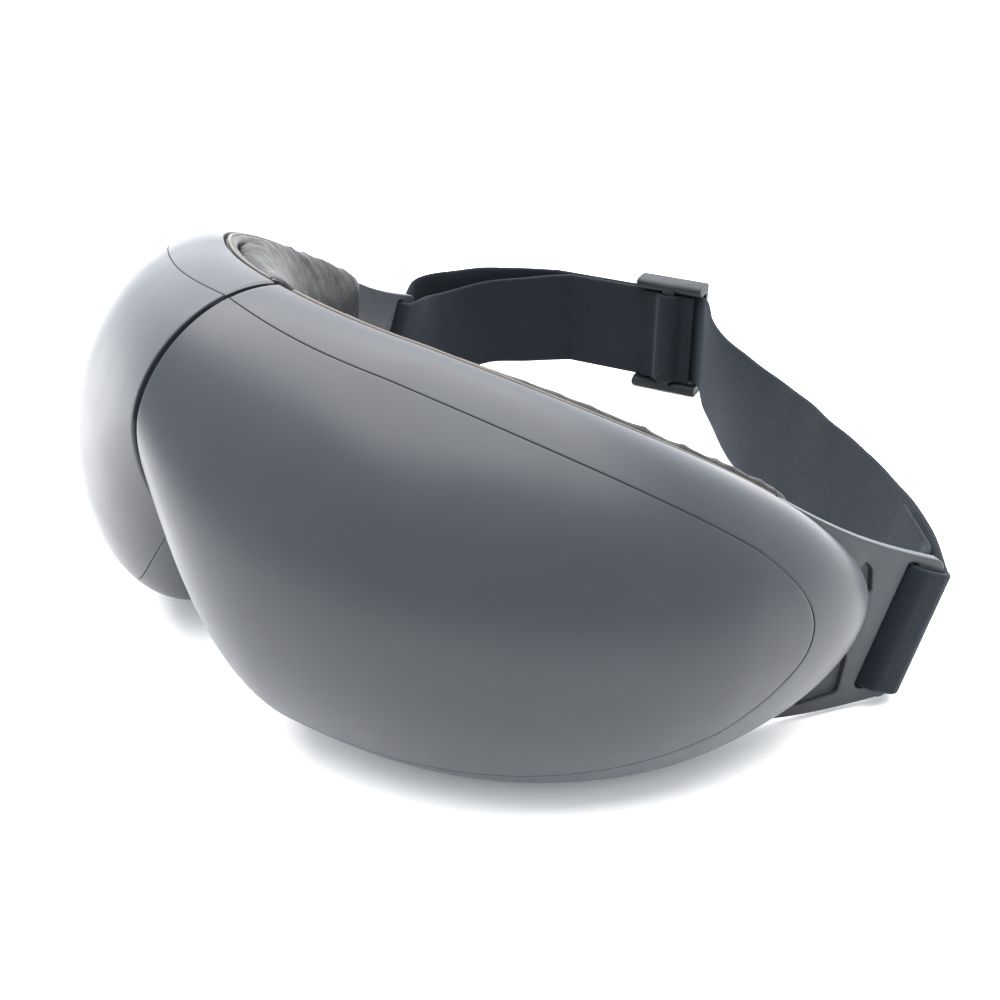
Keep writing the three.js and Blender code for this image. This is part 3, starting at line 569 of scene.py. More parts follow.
def shell_liner():
    """The shell's wall under the panel, and its inside."""
    s = SEAM + 0.15 + (END - SEAM) * np.sin(np.linspace(0, 1, 90) * np.pi / 2) * 0.998
    angle = np.linspace(-1, 1, 90) * np.pi / 2
    grid_s, grid_angle = np.meshgrid(s, angle, indexing="ij")
    return slab_parts(
        skin(np.minimum(grid_s, END - LINER_FRONT), grid_angle, LINER_FRONT),
        skin(np.minimum(grid_s, END - WALL), grid_angle, WALL),
    )


def panel_parts():
    """The let-in panel: rings from its middle out to the outline, rolled over at the edge."""
    upper = 1 - eased_ends(130, [0.002, 0.005])
    turn = np.concatenate([upper, -upper[::-1][1:]])
    edge_s, edge_angle = outline(turn)
    seam_angle = np.linspace(edge_angle[-1], edge_angle[0], 40)[1:-1]
    edge_s = np.concatenate([edge_s, np.full(len(seam_angle), SEAM)])
    edge_angle = np.concatenate([edge_angle, seam_angle])
    middle_s, reach = 52.0, 45.0
    away = np.array([0, 0.0, 0.12, 0.3, 0.6, 1.0, 2.2])  # in from the edge
    rings = np.concatenate([np.linspace(0, 1 - 2 * away[-1] / reach, 26), 1 - away[::-1] / reach])
    drop = rolled((1 - rings) * reach)
    drop[-1] = PANEL_THICK
    r = rings[:, None]
    s = middle_s + (edge_s[None] - middle_s) * r
    angle = PANEL_MIDDLE + (edge_angle[None] - PANEL_MIDDLE) * r
    front = skin(s, angle, np.broadcast_to(drop[:, None], s.shape))
    return slab_parts(front, skin(s, angle, PANEL_THICK), close=True)


for side, half, body in SIDES:
    points, faces = joined(shell_band(), shell_liner())
    shell = mesh_object(f"{half}_shell_skin", to_frame(points, side), faces, 40)
    place(shell, body, "soft_touch_shell", "shell", f"{half}_front_shell")
    points, faces = panel_parts()
    panel = mesh_object(f"{half}_panel_skin", to_frame(points, side), faces, 40)
    place(panel, body, "face_panel", "panel", f"{half}_face_panel")


# ---- rear frames: a thin piping line shows between each shell and its cushion ----
FRAME_START, FRAME_END, FRAME_INSET, FRAME_FRONT, FRAME_REAR = 4.0, 117.5, 0.5, -0.4, -3.3
FRAME_TALL, FRAME_ROUND, FRAME_ROLL = 80, 1.2, 1.1
PIPING_START, PIPING_END, PIPING_INSET, PIPING_BACK, PIPING_RADIUS = 4.6, 116.5, 0.35, -1.35, 0.38


def rim_loop(start, end, inset, count=150):
    """An even loop of (s, z) just inside the rim."""
    s = np.linspace(start, end, 60)
    top, bottom, _ = section(s)
    end_top, end_bottom, _ = section(end)
    turn = np.linspace(0, np.pi, 9)[1:-1]
    half = (end_top - end_bottom) / 2 - inset
    side_s = end + 4 * np.sin(turn)
    side_z = (end_top + end_bottom) / 2 + half * np.cos(turn)
    near_top, near_bottom, _ = section(start)
    near = np.linspace(near_bottom + inset, near_top - inset, 12)[1:-1]
    loop = np.concatenate([
        np.stack([s, top - inset], 1), np.stack([side_s, side_z], 1),
        np.stack([s, bottom + inset], 1)[::-1], np.stack([np.full(10, start), near], 1),
    ])
    return evenly(np.concatenate([loop, loop[:1]]), count, endpoint=False)


def frame_parts():
    """The plate that closes the shell, rounded along its upper and lower edges."""
    s = np.linspace(FRAME_START, FRAME_END, 110)
    top, bottom, _ = section(s, FRAME_INSET)
    share = np.array([0, 0.004, 0.012, 0.03, *np.linspace(0.08, 0.92, 8), 0.97, 0.988, 0.996, 1])
    z = bottom[:, None] + (top - bottom)[:, None] * share[None]
    inside = np.clip(1 - np.minimum(share, 1 - share) * FRAME_TALL / FRAME_ROUND, 0, 1)
    roll = FRAME_ROLL * (1 - np.sqrt(1 - inside**2))
    grid_s = np.broadcast_to(s[:, None], z.shape)
    return slab_parts(bend(grid_s, z, FRAME_FRONT - roll), bend(grid_s, z, FRAME_REAR + roll))


def piping_parts(side):
    """A fine cord round the rim, just behind the shell's edge."""
    loop = rim_loop(PIPING_START, PIPING_END, PIPING_INSET, 220)
    path = to_frame(bend(loop[:, 0], loop[:, 1], PIPING_BACK), side)
    return tube_parts(np.concatenate([path, path[:1]]), PIPING_RADIUS * MM, 10)


for side, half, body in SIDES:
    points, faces = frame_parts()
    trim = mesh_object(f"{half}_rim_trim", to_frame(points, side), faces)
    place(trim, body, "black_plastic", "black", f"{half}_rear_frame")
    points, faces = piping_parts(side)
    cord = mesh_object(f"{half}_rim_piping", points, faces)
    place(cord, body, "black_plastic", "trim")


# ---- face cushions ----
CUSHION_START, CUSHION_END, CUSHION_REAR, BULGE = 9.4, 119.0, -3.8, 0.09


def cushion_rings(slack=0.0, count=150):
    """The padded ring's sections; slack draws it in all over."""
    loop = rim_loop(CUSHION_START + slack, CUSHION_END - slack, 1.0 + slack, count)
    turn = np.arctan2((loop[:, 1] - EYE_Z) / EYE_TALL, (loop[:, 0] - EYE_S) / EYE_WIDE)
    hole = np.stack([
        EYE_S + (EYE_WIDE + slack) * np.cos(turn), EYE_Z + (EYE_TALL + slack) * np.sin(turn),
    ], 1)
    profile = np.array([
        [0.02, CUSHION_REAR], [0, -5.5], [0, -8.6], [0.05, -11.4], [0.14, -13.8], [0.27, -15.9],
        [0.42, -17.1], [0.58, -17.4], [0.73, -16.7], [0.86, -15.0], [0.95, -12.6], [1, -9.6],
        [1, -6], [0.98, CUSHION_REAR], [0.8, CUSHION_REAR], [0.6, CUSHION_REAR],
        [0.4, CUSHION_REAR], [0.2, CUSHION_REAR],
    ])
    depth = profile[:, 1] + slack * (profile[:, 1] < -4)
    swell = BULGE * np.clip(1 - ((profile[:, 1] + 9.5) / 5) ** 2, 0, 1) * (profile[:, 0] < 0.4)
    share = (profile[:, 0] - swell * smooth((loop[:, :1] - 24) / 50))[..., None]
    flat = loop[:, None] * (1 - share) + hole[:, None] * share
    return bend(flat[..., 0], flat[..., 1], np.broadcast_to(depth[None], flat.shape[:2]))


def limit_rise(mesh, rest, most):
    """Holds each point within a distance of where it began."""
    for vertex, was in zip(mesh.vertices, rest):
        moved = vertex.co - was
        if moved.length > most:
            vertex.co = was + moved * (most / moved.length)


def puffed(thing, voxel_mm, pressure, most_mm, frames=18):
    """Fills a closed soft piece by cloth simulation, and keeps the result as its mesh."""
    modify(thing, "REMESH", mode="VOXEL", voxel_size=voxel_mm * MM)
    apply_modifiers(thing)
    rest = [v.co.copy() for v in thing.data.vertices]
    cloth = modify(thing, "CLOTH")
    cloth.point_cache.frame_end = frames
    leather_sheet = cloth.settings
    leather_sheet.quality = 5
    leather_sheet.mass = 0.2
    leather_sheet.use_pressure = True
    leather_sheet.uniform_pressure_force = pressure
    leather_sheet.effector_weights.gravity = 0
    leather_sheet.tension_stiffness = 12
    leather_sheet.compression_stiffness = 12
    leather_sheet.bending_stiffness = 0.4
    for number in range(1, frames + 1):
        bpy.context.scene.frame_set(number)
    apply_modifiers(thing)
    bpy.context.scene.frame_set(1)
    limit_rise(thing.data, rest, most_mm * MM)
    modify(thing, "SUBSURF", levels=1, render_levels=1)
    return apply_modifiers(thing, 60)


for side, half, body in SIDES:
    slack = 0.7
    points, faces = sweep_parts(cushion_rings(slack), close=True)
    cushion = mesh_object(f"{half}_cushion", to_frame(points, side), faces, 60)
    puffed(cushion, voxel_mm=2.2, pressure=3.0, most_mm=1.0)
    place(cushion, body, "leather", "leather", f"{half}_face_cushion")


# ---- eye pads: a knit disc over foam, with a ring of soft massage domes round a middle one ----
PAD_WIDE, PAD_TALL, PAD_BACK, PAD_CROWN = 19.4, 19.6, -8.7, -14.3
DOME_RING, DOME_RADIUS, DOME_HIGH = 11, 3.6, 1.1


def eye_pad_parts():
    turn = np.linspace(0, 2 * np.pi, 96, endpoint=False)
    r = np.concatenate([np.linspace(0, 0.9, 34), [0.94, 0.97, 0.99, 1.0]])
    grid_r, grid_turn = np.meshgrid(r, turn, indexing="ij")
    x, z = PAD_WIDE * grid_r * np.cos(grid_turn), PAD_TALL * grid_r * np.sin(grid_turn)
    crown = PAD_CROWN + 4.6 * grid_r**2.2 + 1.3 * np.clip((grid_r - 0.9) / 0.1, 0, 1) ** 2
    domes = np.zeros_like(x)
    ring = [(DOME_RING, a * math.pi / 4) for a in range(8)]
    for out, angle in [(0, 0), *ring]:
        away = np.hypot(x - out * math.cos(angle), z - out * math.sin(angle))
        domes += DOME_HIGH * np.clip(1 - (away / DOME_RADIUS) ** 2, 0, 1) ** 1.5
    front = bend(EYE_S + x, EYE_Z + z, crown - domes)
    return slab_parts(front, bend(EYE_S + x, EYE_Z + z, np.full_like(x, PAD_BACK)), close=True)


for side, half, body in SIDES:
    points, faces = eye_pad_parts()
    pad = mesh_object(f"{half}_eye_pad_skin", to_frame(points, side), faces, 60)
    place(pad, f"{half}_pad", "eye_fabric", "knit", f"{half}_eye_pad")


# ---- bridge cover: pleated leather across the fold ----
BRIDGE_HALF, BRIDGE_LOW, BRIDGE_HIGH, BRIDGE_FRONT, BRIDGE_BACK, PLEAT = 6.4, -7, 37, -6.2, -7.3, 1.1


def bridge_parts():
    s = np.linspace(-BRIDGE_HALF, BRIDGE_HALF, 75)
    z = np.linspace(BRIDGE_LOW, BRIDGE_HIGH, 45)
    grid_s, grid_z = np.meshgrid(s, z, indexing="ij")
    fold = -PLEAT * np.cos(3 * np.pi * grid_s / BRIDGE_HALF) + 0.075 * np.sin(grid_z * 0.9 + grid_s)
    return slab_parts(
        bend(grid_s, grid_z, BRIDGE_FRONT + fold), bend(grid_s, grid_z, BRIDGE_BACK + fold),
    )


points, faces = bridge_parts()
bridge = mesh_object("bridge_pleats", to_frame(points), faces, 60)
bridge.data.materials.append(LOOKS["leather"])
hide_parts("bridge_cover")
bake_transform(bridge)


# ---- the wire harness and the air tube across the fold ----
CROSSING_REACH, CROSSING_DEPTH, CROSSING_LIFT, TWIST = 33.0, 6.0, 1.5, 0.22


def crossing_parts(z, radius, strands):
    """Round strands across the fold, lifted a little either side of it; several are twisted."""
    s = np.linspace(-CROSSING_REACH, CROSSING_REACH, 110)
    lift = CROSSING_LIFT * np.sin(np.pi * (s + CROSSING_REACH) / CROSSING_REACH)
    off = 0.0 if strands == 1 else radius * 1.18
    parts = []
    for strand in range(strands):
        turn = s * TWIST + 2 * np.pi * strand / strands
        path = bend(s, z + lift + off * np.sin(turn), CROSSING_DEPTH + off * np.cos(turn))
        parts.append(tube_parts(to_frame(path), radius * MM, 16))
    return joined(*parts)


for name, node, look, slot, z, radius, strands in (
    ("wire_harness_run", "wire_harness", "wire", "wire_jacket", 13.0, 0.58, 4),
    ("air_tube_run", "air_tube", "vinyl", "clear_film", 3.5, 1.85, 1),
):
    points, faces = crossing_parts(z, radius, strands)
    line = mesh_object(name, points, faces, 60)
    line.data.materials.append(LOOKS[look])
    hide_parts(node)
    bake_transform(line)


# ---- cutting and rounding solid pieces ----
def cut(thing, *cutters, sharp=35, operation="DIFFERENCE"):
    for cutter in cutters:
        modify(thing, "BOOLEAN", operation=operation, solver="EXACT", object=cutter)
        apply_modifiers(thing, sharp)
        bpy.data.objects.remove(cutter)
    return thing


def at_rim(local, s, z, d, tilt=0.0):
    """Local points (along the rim, inward, raised) to upright mask points, tipped down by tilt."""
    turned = min(s / RADIUS, TURN)
    along = np.array([math.cos(turned), math.sin(turned), 0])
    outward = np.array([math.sin(turned), -math.cos(turned), 0])
    up = np.array([0, 0, 1.0])
    tipped = outward * math.cos(tilt) - up * math.sin(tilt)
    raised = up * math.cos(tilt) + outward * math.sin(tilt)
    return bend(s, z, d) + np.asarray(local, float) @ np.array([along, -tipped, raised])


def prism_parts(outline, low, high, axes):
    """A closed outline of pairs pushed between two levels; axes turns (a, b, level) into points."""
    count = len(outline)
    points = [axes(a, b, level) for level in (low, high) for a, b in outline]
    faces = [tuple(range(count)), tuple(reversed(range(count, 2 * count)))]
    for j in range(count):
        k = (j + 1) % count
        faces.append((k, j, count + j, count + k))
    return np.array(points, float), faces


def rounded_box(wide, tall, radius, steps=6):
    """Pairs round a rectangle with rounded corners, about its middle."""
    pairs = []
    for turn, x, y in ((0, 1, 1), (1, -1, 1), (2, -1, -1), (3, 1, -1)):
        for i in range(steps + 1):
            angle = (turn + i / steps) * math.pi / 2
            pairs.append((
                x * (wide / 2 - radius) + radius * math.cos(angle),
                y * (tall / 2 - radius) + radius * math.sin(angle),
            ))
    return pairs


# ---- charging inlet and power button, in the right half ----
PORT_S, PORT_Z, PORT_D, PORT_WIDE, PORT_THICK, PORT_DEEP = 84.0, -34.3, 8.0, 9.0, 3.4, 7.4
BUTTON_S, BUTTON_Z, BUTTON_D, BUTTON_TILT = 64.0, -39.6, 10.0, 58.4 * DEG
BUTTON_RADIUS, BUTTON_PROUD, BUTTON_LONG, HOLE_GAP = 4.5, 0.6, 7.0, 0.35


def port_piece(name, wide, thick, low, high, radius):
    """A rounded slug standing in the inlet, between two heights from the port's middle."""
    points, faces = prism_parts(
        rounded_box(wide, thick, radius), low, high,
        lambda a, b, level: at_rim([a, b, level], PORT_S, PORT_Z, PORT_D),
    )
    return mesh_object(name, to_frame(points, -1), faces)


def button_turned(name, profile, sides=64):
    """A round piece turned about the button's axis: profile pairs are (radius, depth inwards)."""
    turn = np.linspace(0, 2 * np.pi, sides, endpoint=False)
    rings = []
    for radius, depth in profile:
        local = np.stack([radius * np.cos(turn), np.full(sides, depth), radius * np.sin(turn)], 1)
        rings.append(at_rim(local, BUTTON_S, BUTTON_Z, BUTTON_D, BUTTON_TILT))
    points, faces = sweep_parts(np.array(rings))
    return mesh_object(name, to_frame(points, -1), faces)


right_shell = bpy.data.objects["right_shell_skin"]
cut(
    right_shell,
    port_piece("inlet_hole", PORT_WIDE + 0.7, PORT_THICK + 0.7, -12, 4, 2.0),
    button_turned("button_hole", [(BUTTON_RADIUS + HOLE_GAP, -9), (BUTTON_RADIUS + HOLE_GAP, 10)]),
    sharp=40,
)

port = port_piece("usb_port_shell", PORT_WIDE, PORT_THICK, -PORT_DEEP / 2, PORT_DEEP / 2, 1.65)
cut(port, port_piece("mouth", PORT_WIDE - 0.8, PORT_THICK - 0.8, -9, 1.4, 1.25))
cut(port, port_piece("tongue", 6.2, 0.7, -2.9, 2.0, 0.2), operation="UNION")
place(bevelled(port, 0.00008, 2, 50), "right_half", "steel", "steel", "usb_port")

cap = [
    (0.001, 0.25), (2.2, 0.16), (3.1, 0.02), (3.9, 0), (4.25, 0.07), (4.44, 0.25),
    (BUTTON_RADIUS, 0.5), (BUTTON_RADIUS, BUTTON_LONG),
]
button = button_turned("power_button_cap", [(radius, depth - BUTTON_PROUD) for radius, depth in cap])
place(button, "button_body", "face_panel", "panel", "power_button")


# ---- strap brackets: rubber flanges with let-in pockets and a slot beside the slanted strap bar ----
BRACKET_START, BRACKET_FRONT, BRACKET_REAR = 118.0, -0.4, -3.3
BAR_HALF_TALL, CORNER, BELOW, WAIST, BELLY = 16.9, 2.5, 1.0, 1.6, 1.2
BAR_S, BAR_Z, BAR_D, BAR_SLANT, BAR_WIDE, BAR_REACH = 157.0, -5.2, -1.85, 8 * DEG, 6.8, 1.7
SLOT_WIDE, SLOT_TALL, POCKET_DEEP = 2.8, 30.5, 1.6
POCKETS = [
    [(141.5, 3), (145.8, 3.2), (144, 9.2), (141.5, 10.5)],
    [(138, -8), (144.6, -11.5), (145, -20.9), (135.5, -24.3), (131, -20)],
]


def on_bar(x, z):
    """A pair (s, z) from the slanted bar's own directions: x away from the mask, z along it."""
    return (
        BAR_S + x * math.cos(BAR_SLANT) + z * math.sin(BAR_SLANT),
        BAR_Z - x * math.sin(BAR_SLANT) + z * math.cos(BAR_SLANT),
    )


def bracket_edge():
    """Pairs (s, z) round the bracket."""
    root_top, root_bottom, _ = section(BRACKET_START)
    edge = BAR_WIDE / 2 - CORNER

    def side_run(root, end, pull):
        share = np.linspace(0, 1, 26)
        along = BRACKET_START + (end[0] - BRACKET_START) * share
        return list(zip(along, root + (end[1] - root) * share + pull * np.sin(np.pi * share)))

    def corner(middle, begin):
        angles = [(begin - 90 * i / 8) * DEG for i in range(1, 9)]
        return [on_bar(edge + CORNER * math.cos(a), middle + CORNER * math.sin(a)) for a in angles]

    top = side_run(float(root_top), on_bar(edge, BAR_HALF_TALL), -WAIST)
    bottom = side_run(float(root_bottom) - BELOW, on_bar(edge, -BAR_HALF_TALL), -BELLY)
    return top + corner(BAR_HALF_TALL - CORNER, 90) + corner(CORNER - BAR_HALF_TALL, 0) + bottom[::-1]


def bracket_piece(name, outline, low, high, side):
    points, faces = prism_parts(outline, low, high, lambda s, z, d: bend(s, z, d))
    return mesh_object(name, to_frame(points, side), faces)


def soft_corners(corners, radius=1.0):
    """Rounds each corner of an outline by a short curve through three points."""
    corners = np.array(corners, float)
    pairs = []
    for before, here, after in zip(np.roll(corners, 1, 0), corners, np.roll(corners, -1, 0)):
        back, ahead = ((other - here) / np.linalg.norm(other - here) for other in (before, after))
        pairs += [here + back * radius, here + (back + ahead) * radius * 0.3, here + ahead * radius]
    return pairs


def bracket(side, half):
    plate = bracket_piece(f"{half}_bracket", bracket_edge(), BRACKET_REAR, BRACKET_FRONT, side)
    middle = -(BAR_WIDE + SLOT_WIDE) / 2
    slot = [on_bar(middle + a, b) for a, b in rounded_box(SLOT_WIDE, SLOT_TALL, 1.0)]
    cut(plate, bracket_piece("slot", slot, BRACKET_REAR - 2, 3, side))
    for pocket in POCKETS:
        cut(plate, bracket_piece("pocket", soft_corners(pocket), BRACKET_FRONT - POCKET_DEEP, 3, side))
    return bevelled(plate, 0.0004, 3, 40, 30)


for side, half, body in SIDES:
    place(bracket(side, half), body, "bracket_rubber", "bracket", f"{half}_strap_bracket")


# ---- head strap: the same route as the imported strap, from the left bar round to the slider ----
UPRIGHT = np.array(LEANED @ Vector((0, 0, 1)))
LEVEL_UP = np.array([0, 0, 1.0])
FLOOR_LIFT = SHIFT.z / MM
STRETCH_START = np.array([-38, 181, 18.3])
STRETCH_WAY = np.array([-0.906, -0.423, 0])
STRETCH_INWARD = np.array([0.423, -0.906, 0])
STRETCH_LONG = 52.0
TAIL = [[75.3, 121.9, 16.2], [84.8, 115.2, 16.5], [91.4, 109.4, 17]]
REAR_RUN = [
    [86, 117.5, 16.3], [66, 130.8, 15.4], [32, 145.8, 14.9], [0, 157.3, 14.8], [-14, 163.2, 15.4],
    [-27, 169.8, 17],
]
OUTER_RUN = [[-94, 147.5, 19], [-102, 131, 19.8], [-104.4, 116, 19.2]]
INNER_RUN = [[-96, 121, 17.2], [-93.6, 136, 18.4], [-85, 150, 18.5]]
INNER_SAG, INNER_LEAN = 2.2, 2.2  # how far the slack inner layer's upper edge drops and tips


def on_floor(points):
    """Strap points in mm, counted from the floor, to the frame in metres."""
    return np.asarray(points, float) * MM + [0, SHIFT.y, 0]


def on_stretch(t, inward):
    return STRETCH_START + STRETCH_WAY * t + STRETCH_INWARD * LAYER_STEP * inward


def bar_of(side):
    """The bracket bar's middle, and its directions rearward, up along the bar, and outward."""
    lean = np.array(LEANED)
    flip = np.array([side, 1, 1])
    centre = lean @ (bend(BAR_S, BAR_Z, BAR_D) * flip) + [0, 0, FLOOR_LIFT]
    along = lean @ (np.array([math.cos(TURN), math.sin(TURN), 0]) * flip)
    rearward = along * math.cos(BAR_SLANT) - UPRIGHT * math.sin(BAR_SLANT)
    up = UPRIGHT * math.cos(BAR_SLANT) + along * math.sin(BAR_SLANT)
    outward = lean @ (np.array([math.sin(TURN), -math.cos(TURN), 0]) * flip)
    return centre, rearward, up, outward


def around_bar(side, start, end, count=36):
    """The turn over the flat bar: two round ends joined by straight sides."""
    centre, rearward, up, outward = bar_of(side)
    turn = np.linspace(start, end, count)[:, None] * DEG
    back = STRAP_LOOP * np.cos(turn) + BAR_REACH * np.sign(np.cos(turn))
    points = centre + rearward * back + outward * STRAP_LOOP * np.sin(turn)
    return points, np.broadcast_to(up, points.shape), np.zeros(count)


def curve_through(points, count):
    """An even run of points, both ends included, on a smooth line through the given ones."""
    points = np.asarray(points, float)
    before, after = 2 * points[0] - points[1], 2 * points[-1] - points[-2]
    ends = np.concatenate([[before], points, [after]])
    fine = []
    for i in range(len(points) - 1):
        p0, p1, p2, p3 = ends[i:i + 4]
        d0, d1, d2 = (np.linalg.norm(b - a) ** 0.5 for a, b in ((p0, p1), (p1, p2), (p2, p3)))
        out = ((p1 - p0) / d0 - (p2 - p0) / (d0 + d1) + (p2 - p1) / d1) * d1
        into = ((p2 - p1) / d1 - (p3 - p1) / (d1 + d2) + (p3 - p2) / d2) * d1
        t = np.linspace(0, 1, 60, endpoint=i == len(points) - 2)[:, None]
        fine.append(
            (2 * t**3 - 3 * t**2 + 1) * p1 + (t**3 - 2 * t**2 + t) * out
            + (-2 * t**3 + 3 * t**2) * p2 + (t**3 - t**2) * into
        )
    return evenly(np.concatenate(fine), count)


def span(plan, start_up, end_up, hold=0.0, step=1.6):
    """A free run: points, up directions and slackness; the first tilt fades after the share hold."""
    rough = np.linalg.norm(np.diff(np.array(plan), axis=0), axis=1).sum()
    points = curve_through(plan, int(rough / step))
    t = np.linspace(0, 1, len(points))[:, None]
    first, last = 1 - smooth((t - hold) / 0.3), smooth((t - 0.7) / 0.3)
    up = (LEVEL_UP * (1 - first) + start_up * first) * (1 - last) + end_up * last
    up /= np.linalg.norm(up, axis=1)[:, None]
    slack = np.sin(np.pi * t[:, 0]) ** 2
    return points[1:-1], up[1:-1], slack[1:-1]


def straight(start, end, inward, step=1.6):
    count = int(abs(end - start) / step) + 2
    points = np.array([on_stretch(t, inward) for t in np.linspace(start, end, count)])
    return points, np.broadcast_to(LEVEL_UP, points.shape), np.zeros(count)


def strap_route():
    left_loop, right_out = around_bar(1, 262, 8), around_bar(-1, 66, 262)
    left_up, right_up = bar_of(1)[2], bar_of(-1)[2]
    into_slider = [on_stretch(0.6, 1.9), on_stretch(4.4, 0.2)]
    runs = [
        (np.array(TAIL[:1], float), left_up[None], np.zeros(1)),
        span([*TAIL, left_loop[0][0]], left_up, left_up, 1),
        left_loop,
        span([left_loop[0][-1], *REAR_RUN, *into_slider], left_up, LEVEL_UP, 0.6),
        straight(7, STRETCH_LONG, 0),
        span([on_stretch(STRETCH_LONG, 0), *OUTER_RUN, right_out[0][0]], LEVEL_UP, right_up),
        right_out,
    ]
    inner = span([right_out[0][-1], *INNER_RUN, on_stretch(STRETCH_LONG - 6, 1)], right_up, LEVEL_UP)
    runs += [inner, straight(STRETCH_LONG - 6, 6, 1)]
    points, up, slack = (np.concatenate([run[i] for run in runs]) for i in range(3))
    dip = np.concatenate([np.full(len(run[0]), 1.0 if run is inner else 0.0) for run in runs])
    return points, up, slack, dip * slack


def ribbon_section(wide, thick, columns=15, round_steps=5):
    """Pairs (across, up) round a band with rounded selvedges, starting low on its outer face."""
    radius = thick / 2
    flat = wide / 2 - radius
    angle = math.pi * np.arange(1, round_steps) / round_steps
    across = np.concatenate([np.full(columns, radius), radius * np.cos(angle)])
    up = np.concatenate([np.linspace(-flat, flat, columns), flat + radius * np.sin(angle)])
    outer_face = np.stack([across, up], 1)
    return np.concatenate([outer_face, -outer_face])


def across_band(points, up):
    """The direction across the band at each station, square to its run and to up."""
    ahead = np.gradient(points, axis=0)
    along = ahead - up * (ahead * up).sum(1)[:, None]
    along /= np.linalg.norm(along, axis=1)[:, None]
    return np.cross(along, up)


def ribbon_object(name, points, up, slack, dip, wide, thick):
    """A band along stations, slightly cupped and rippled where slack, mapped in metres."""
    across = across_band(points, up)
    pairs = ribbon_section(wide, thick)
    run = lengths_along(points)
    side, height = pairs[None, :, 0], pairs[None, :, 1]
    share = height / (wide / 2)
    ripple = 0.28 * np.sin(run / 5.3 + 0.7) + 0.2 * np.sin(run / 2.9)
    cup = slack[:, None] * (0.35 * (share**2 - 0.4) + ripple[:, None] * 0.5 * share)
    lean = dip[:, None] * INNER_LEAN * smooth((share + 0.2) / 1.2)
    drop = dip[:, None] * INNER_SAG * smooth((share + 1) / 2)
    fall = drop - slack[:, None] * 0.4 * ripple[:, None]
    rings = (
        points[:, None] + across[:, None] * (side + cup - lean)[..., None]
        + up[:, None] * (height - fall)[..., None]
    )
    points, faces = sweep_parts(on_floor(rings))
    round_trip = lengths_along(np.concatenate([pairs, pairs[:1]]))
    columns = len(pairs)
    corners = []
    for face in faces:
        columns_here = [i % columns for i in face]
        wraps = len(face) == 4 and {0, columns - 1} <= set(columns_here)
        for i in face:
            column = columns if wraps and i % columns == 0 else i % columns
            corners.append((run[i // columns] * MM, round_trip[column] * MM))
    return mesh_object(name, points, faces, 50, 0, np.array(corners, np.float32).ravel())


route, route_up, route_slack, route_dip = strap_route()
strap = ribbon_object(
    "head_strap_band", route, route_up, route_slack, route_dip, STRAP_WIDE, STRAP_THICK
)
strap.data.materials.append(LOOKS["webbing"])
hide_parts("head_strap")
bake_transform(strap)


# ---- stitches: rows of short thread bars up the band's inner face ----
STITCH_LONG, STITCH_BOW, STITCH_RADIUS, STITCH_PROUD = 1.9, 0.16, 0.22, 0.06
STITCH_HEIGHTS = np.arange(-12.4, 12.5, 2.5)
STITCHED = [[77, 120.7, 16.2], [79.5, 118.9, 16.3], [80, 121.6, 16], [82.5, 119.9, 16.1]]


def stitch_row(spot):
    """A row of stitches at the strap's station nearest to a spot."""
    at = int(np.argmin(np.linalg.norm(route - np.array(spot, float), axis=1)))
    across, up = across_band(route, route_up)[at], route_up[at]
    bow = np.linspace(-1, 1, 7)[:, None]
    parts = []
    for height in STITCH_HEIGHTS:
        middle = route[at] - across * (STRAP_THICK / 2 + STITCH_PROUD) + up * height
        path = middle + up * bow * STITCH_LONG / 2 + across * STITCH_BOW * bow**2
        parts.append(tube_parts(on_floor(path), STITCH_RADIUS * MM, 7))
    return joined(*parts)


points, faces = joined(*(stitch_row(spot) for spot in STITCHED))
thread = mesh_object("strap_stitches", points, faces, 60, 1e-7)
place(thread, "root", "webbing", "thread")


# ---- strap slider ----
SLIDER_LONG, SLIDER_TALL, SLIDER_BAR, SLIDER_RAIL = 21.0, 36.2, 2.8, 3.0
SLIDER_PLATE, SLIDER_INSIDE, RAIL_ROUND, BAR_ROUND = 1.8, 4.1, 1.4, 0.5
SLIDER_T = 2 + SLIDER_LONG / 2
slider_centre = on_stretch(SLIDER_T, 0.5)


def slider_point(x, outward, z):
    return slider_centre - STRETCH_WAY * x - STRETCH_INWARD * outward + LEVEL_UP * z


def slider_block(name, x, outward, z, long, deep, tall, radius):
    """A rounded block: its outline is seen along the slider's length."""
    outline = rounded_box(deep, tall, radius, 4)
    points, faces = prism_parts(
        outline, x - long / 2, x + long / 2,
        lambda a, b, level: slider_point(level, outward + a, z + b),
    )
    return mesh_object(name, on_floor(points), faces)


def slider_piece():
    depth = SLIDER_INSIDE + 2 * SLIDER_PLATE
    rail_z = (SLIDER_TALL - SLIDER_RAIL) / 2
    offset = (SLIDER_INSIDE + SLIDER_PLATE) / 2
    end_x = (SLIDER_LONG - SLIDER_BAR) / 2
    rail_size = (SLIDER_LONG, depth, SLIDER_RAIL, RAIL_ROUND)
    slider = slider_block("strap_slider_frame", 0, 0, rail_z, *rail_size)
    others = [slider_block("rail", 0, 0, -rail_z, *rail_size)]
    bars = [(-end_x, offset, SLIDER_BAR), (end_x, offset, SLIDER_BAR), (0, -offset, SLIDER_BAR + 1)]
    for x, outward, long in bars:
        bar_size = (long, SLIDER_PLATE, SLIDER_TALL - 1.2, BAR_ROUND)
        others.append(slider_block("bar", x, outward, 0, *bar_size))
    cut(slider, *others, operation="UNION")
    return bevelled(slider, 0.001, 4, 40, 40)


place(slider_piece(), "slider_body", "slider_plastic", "slider", "strap_slider")


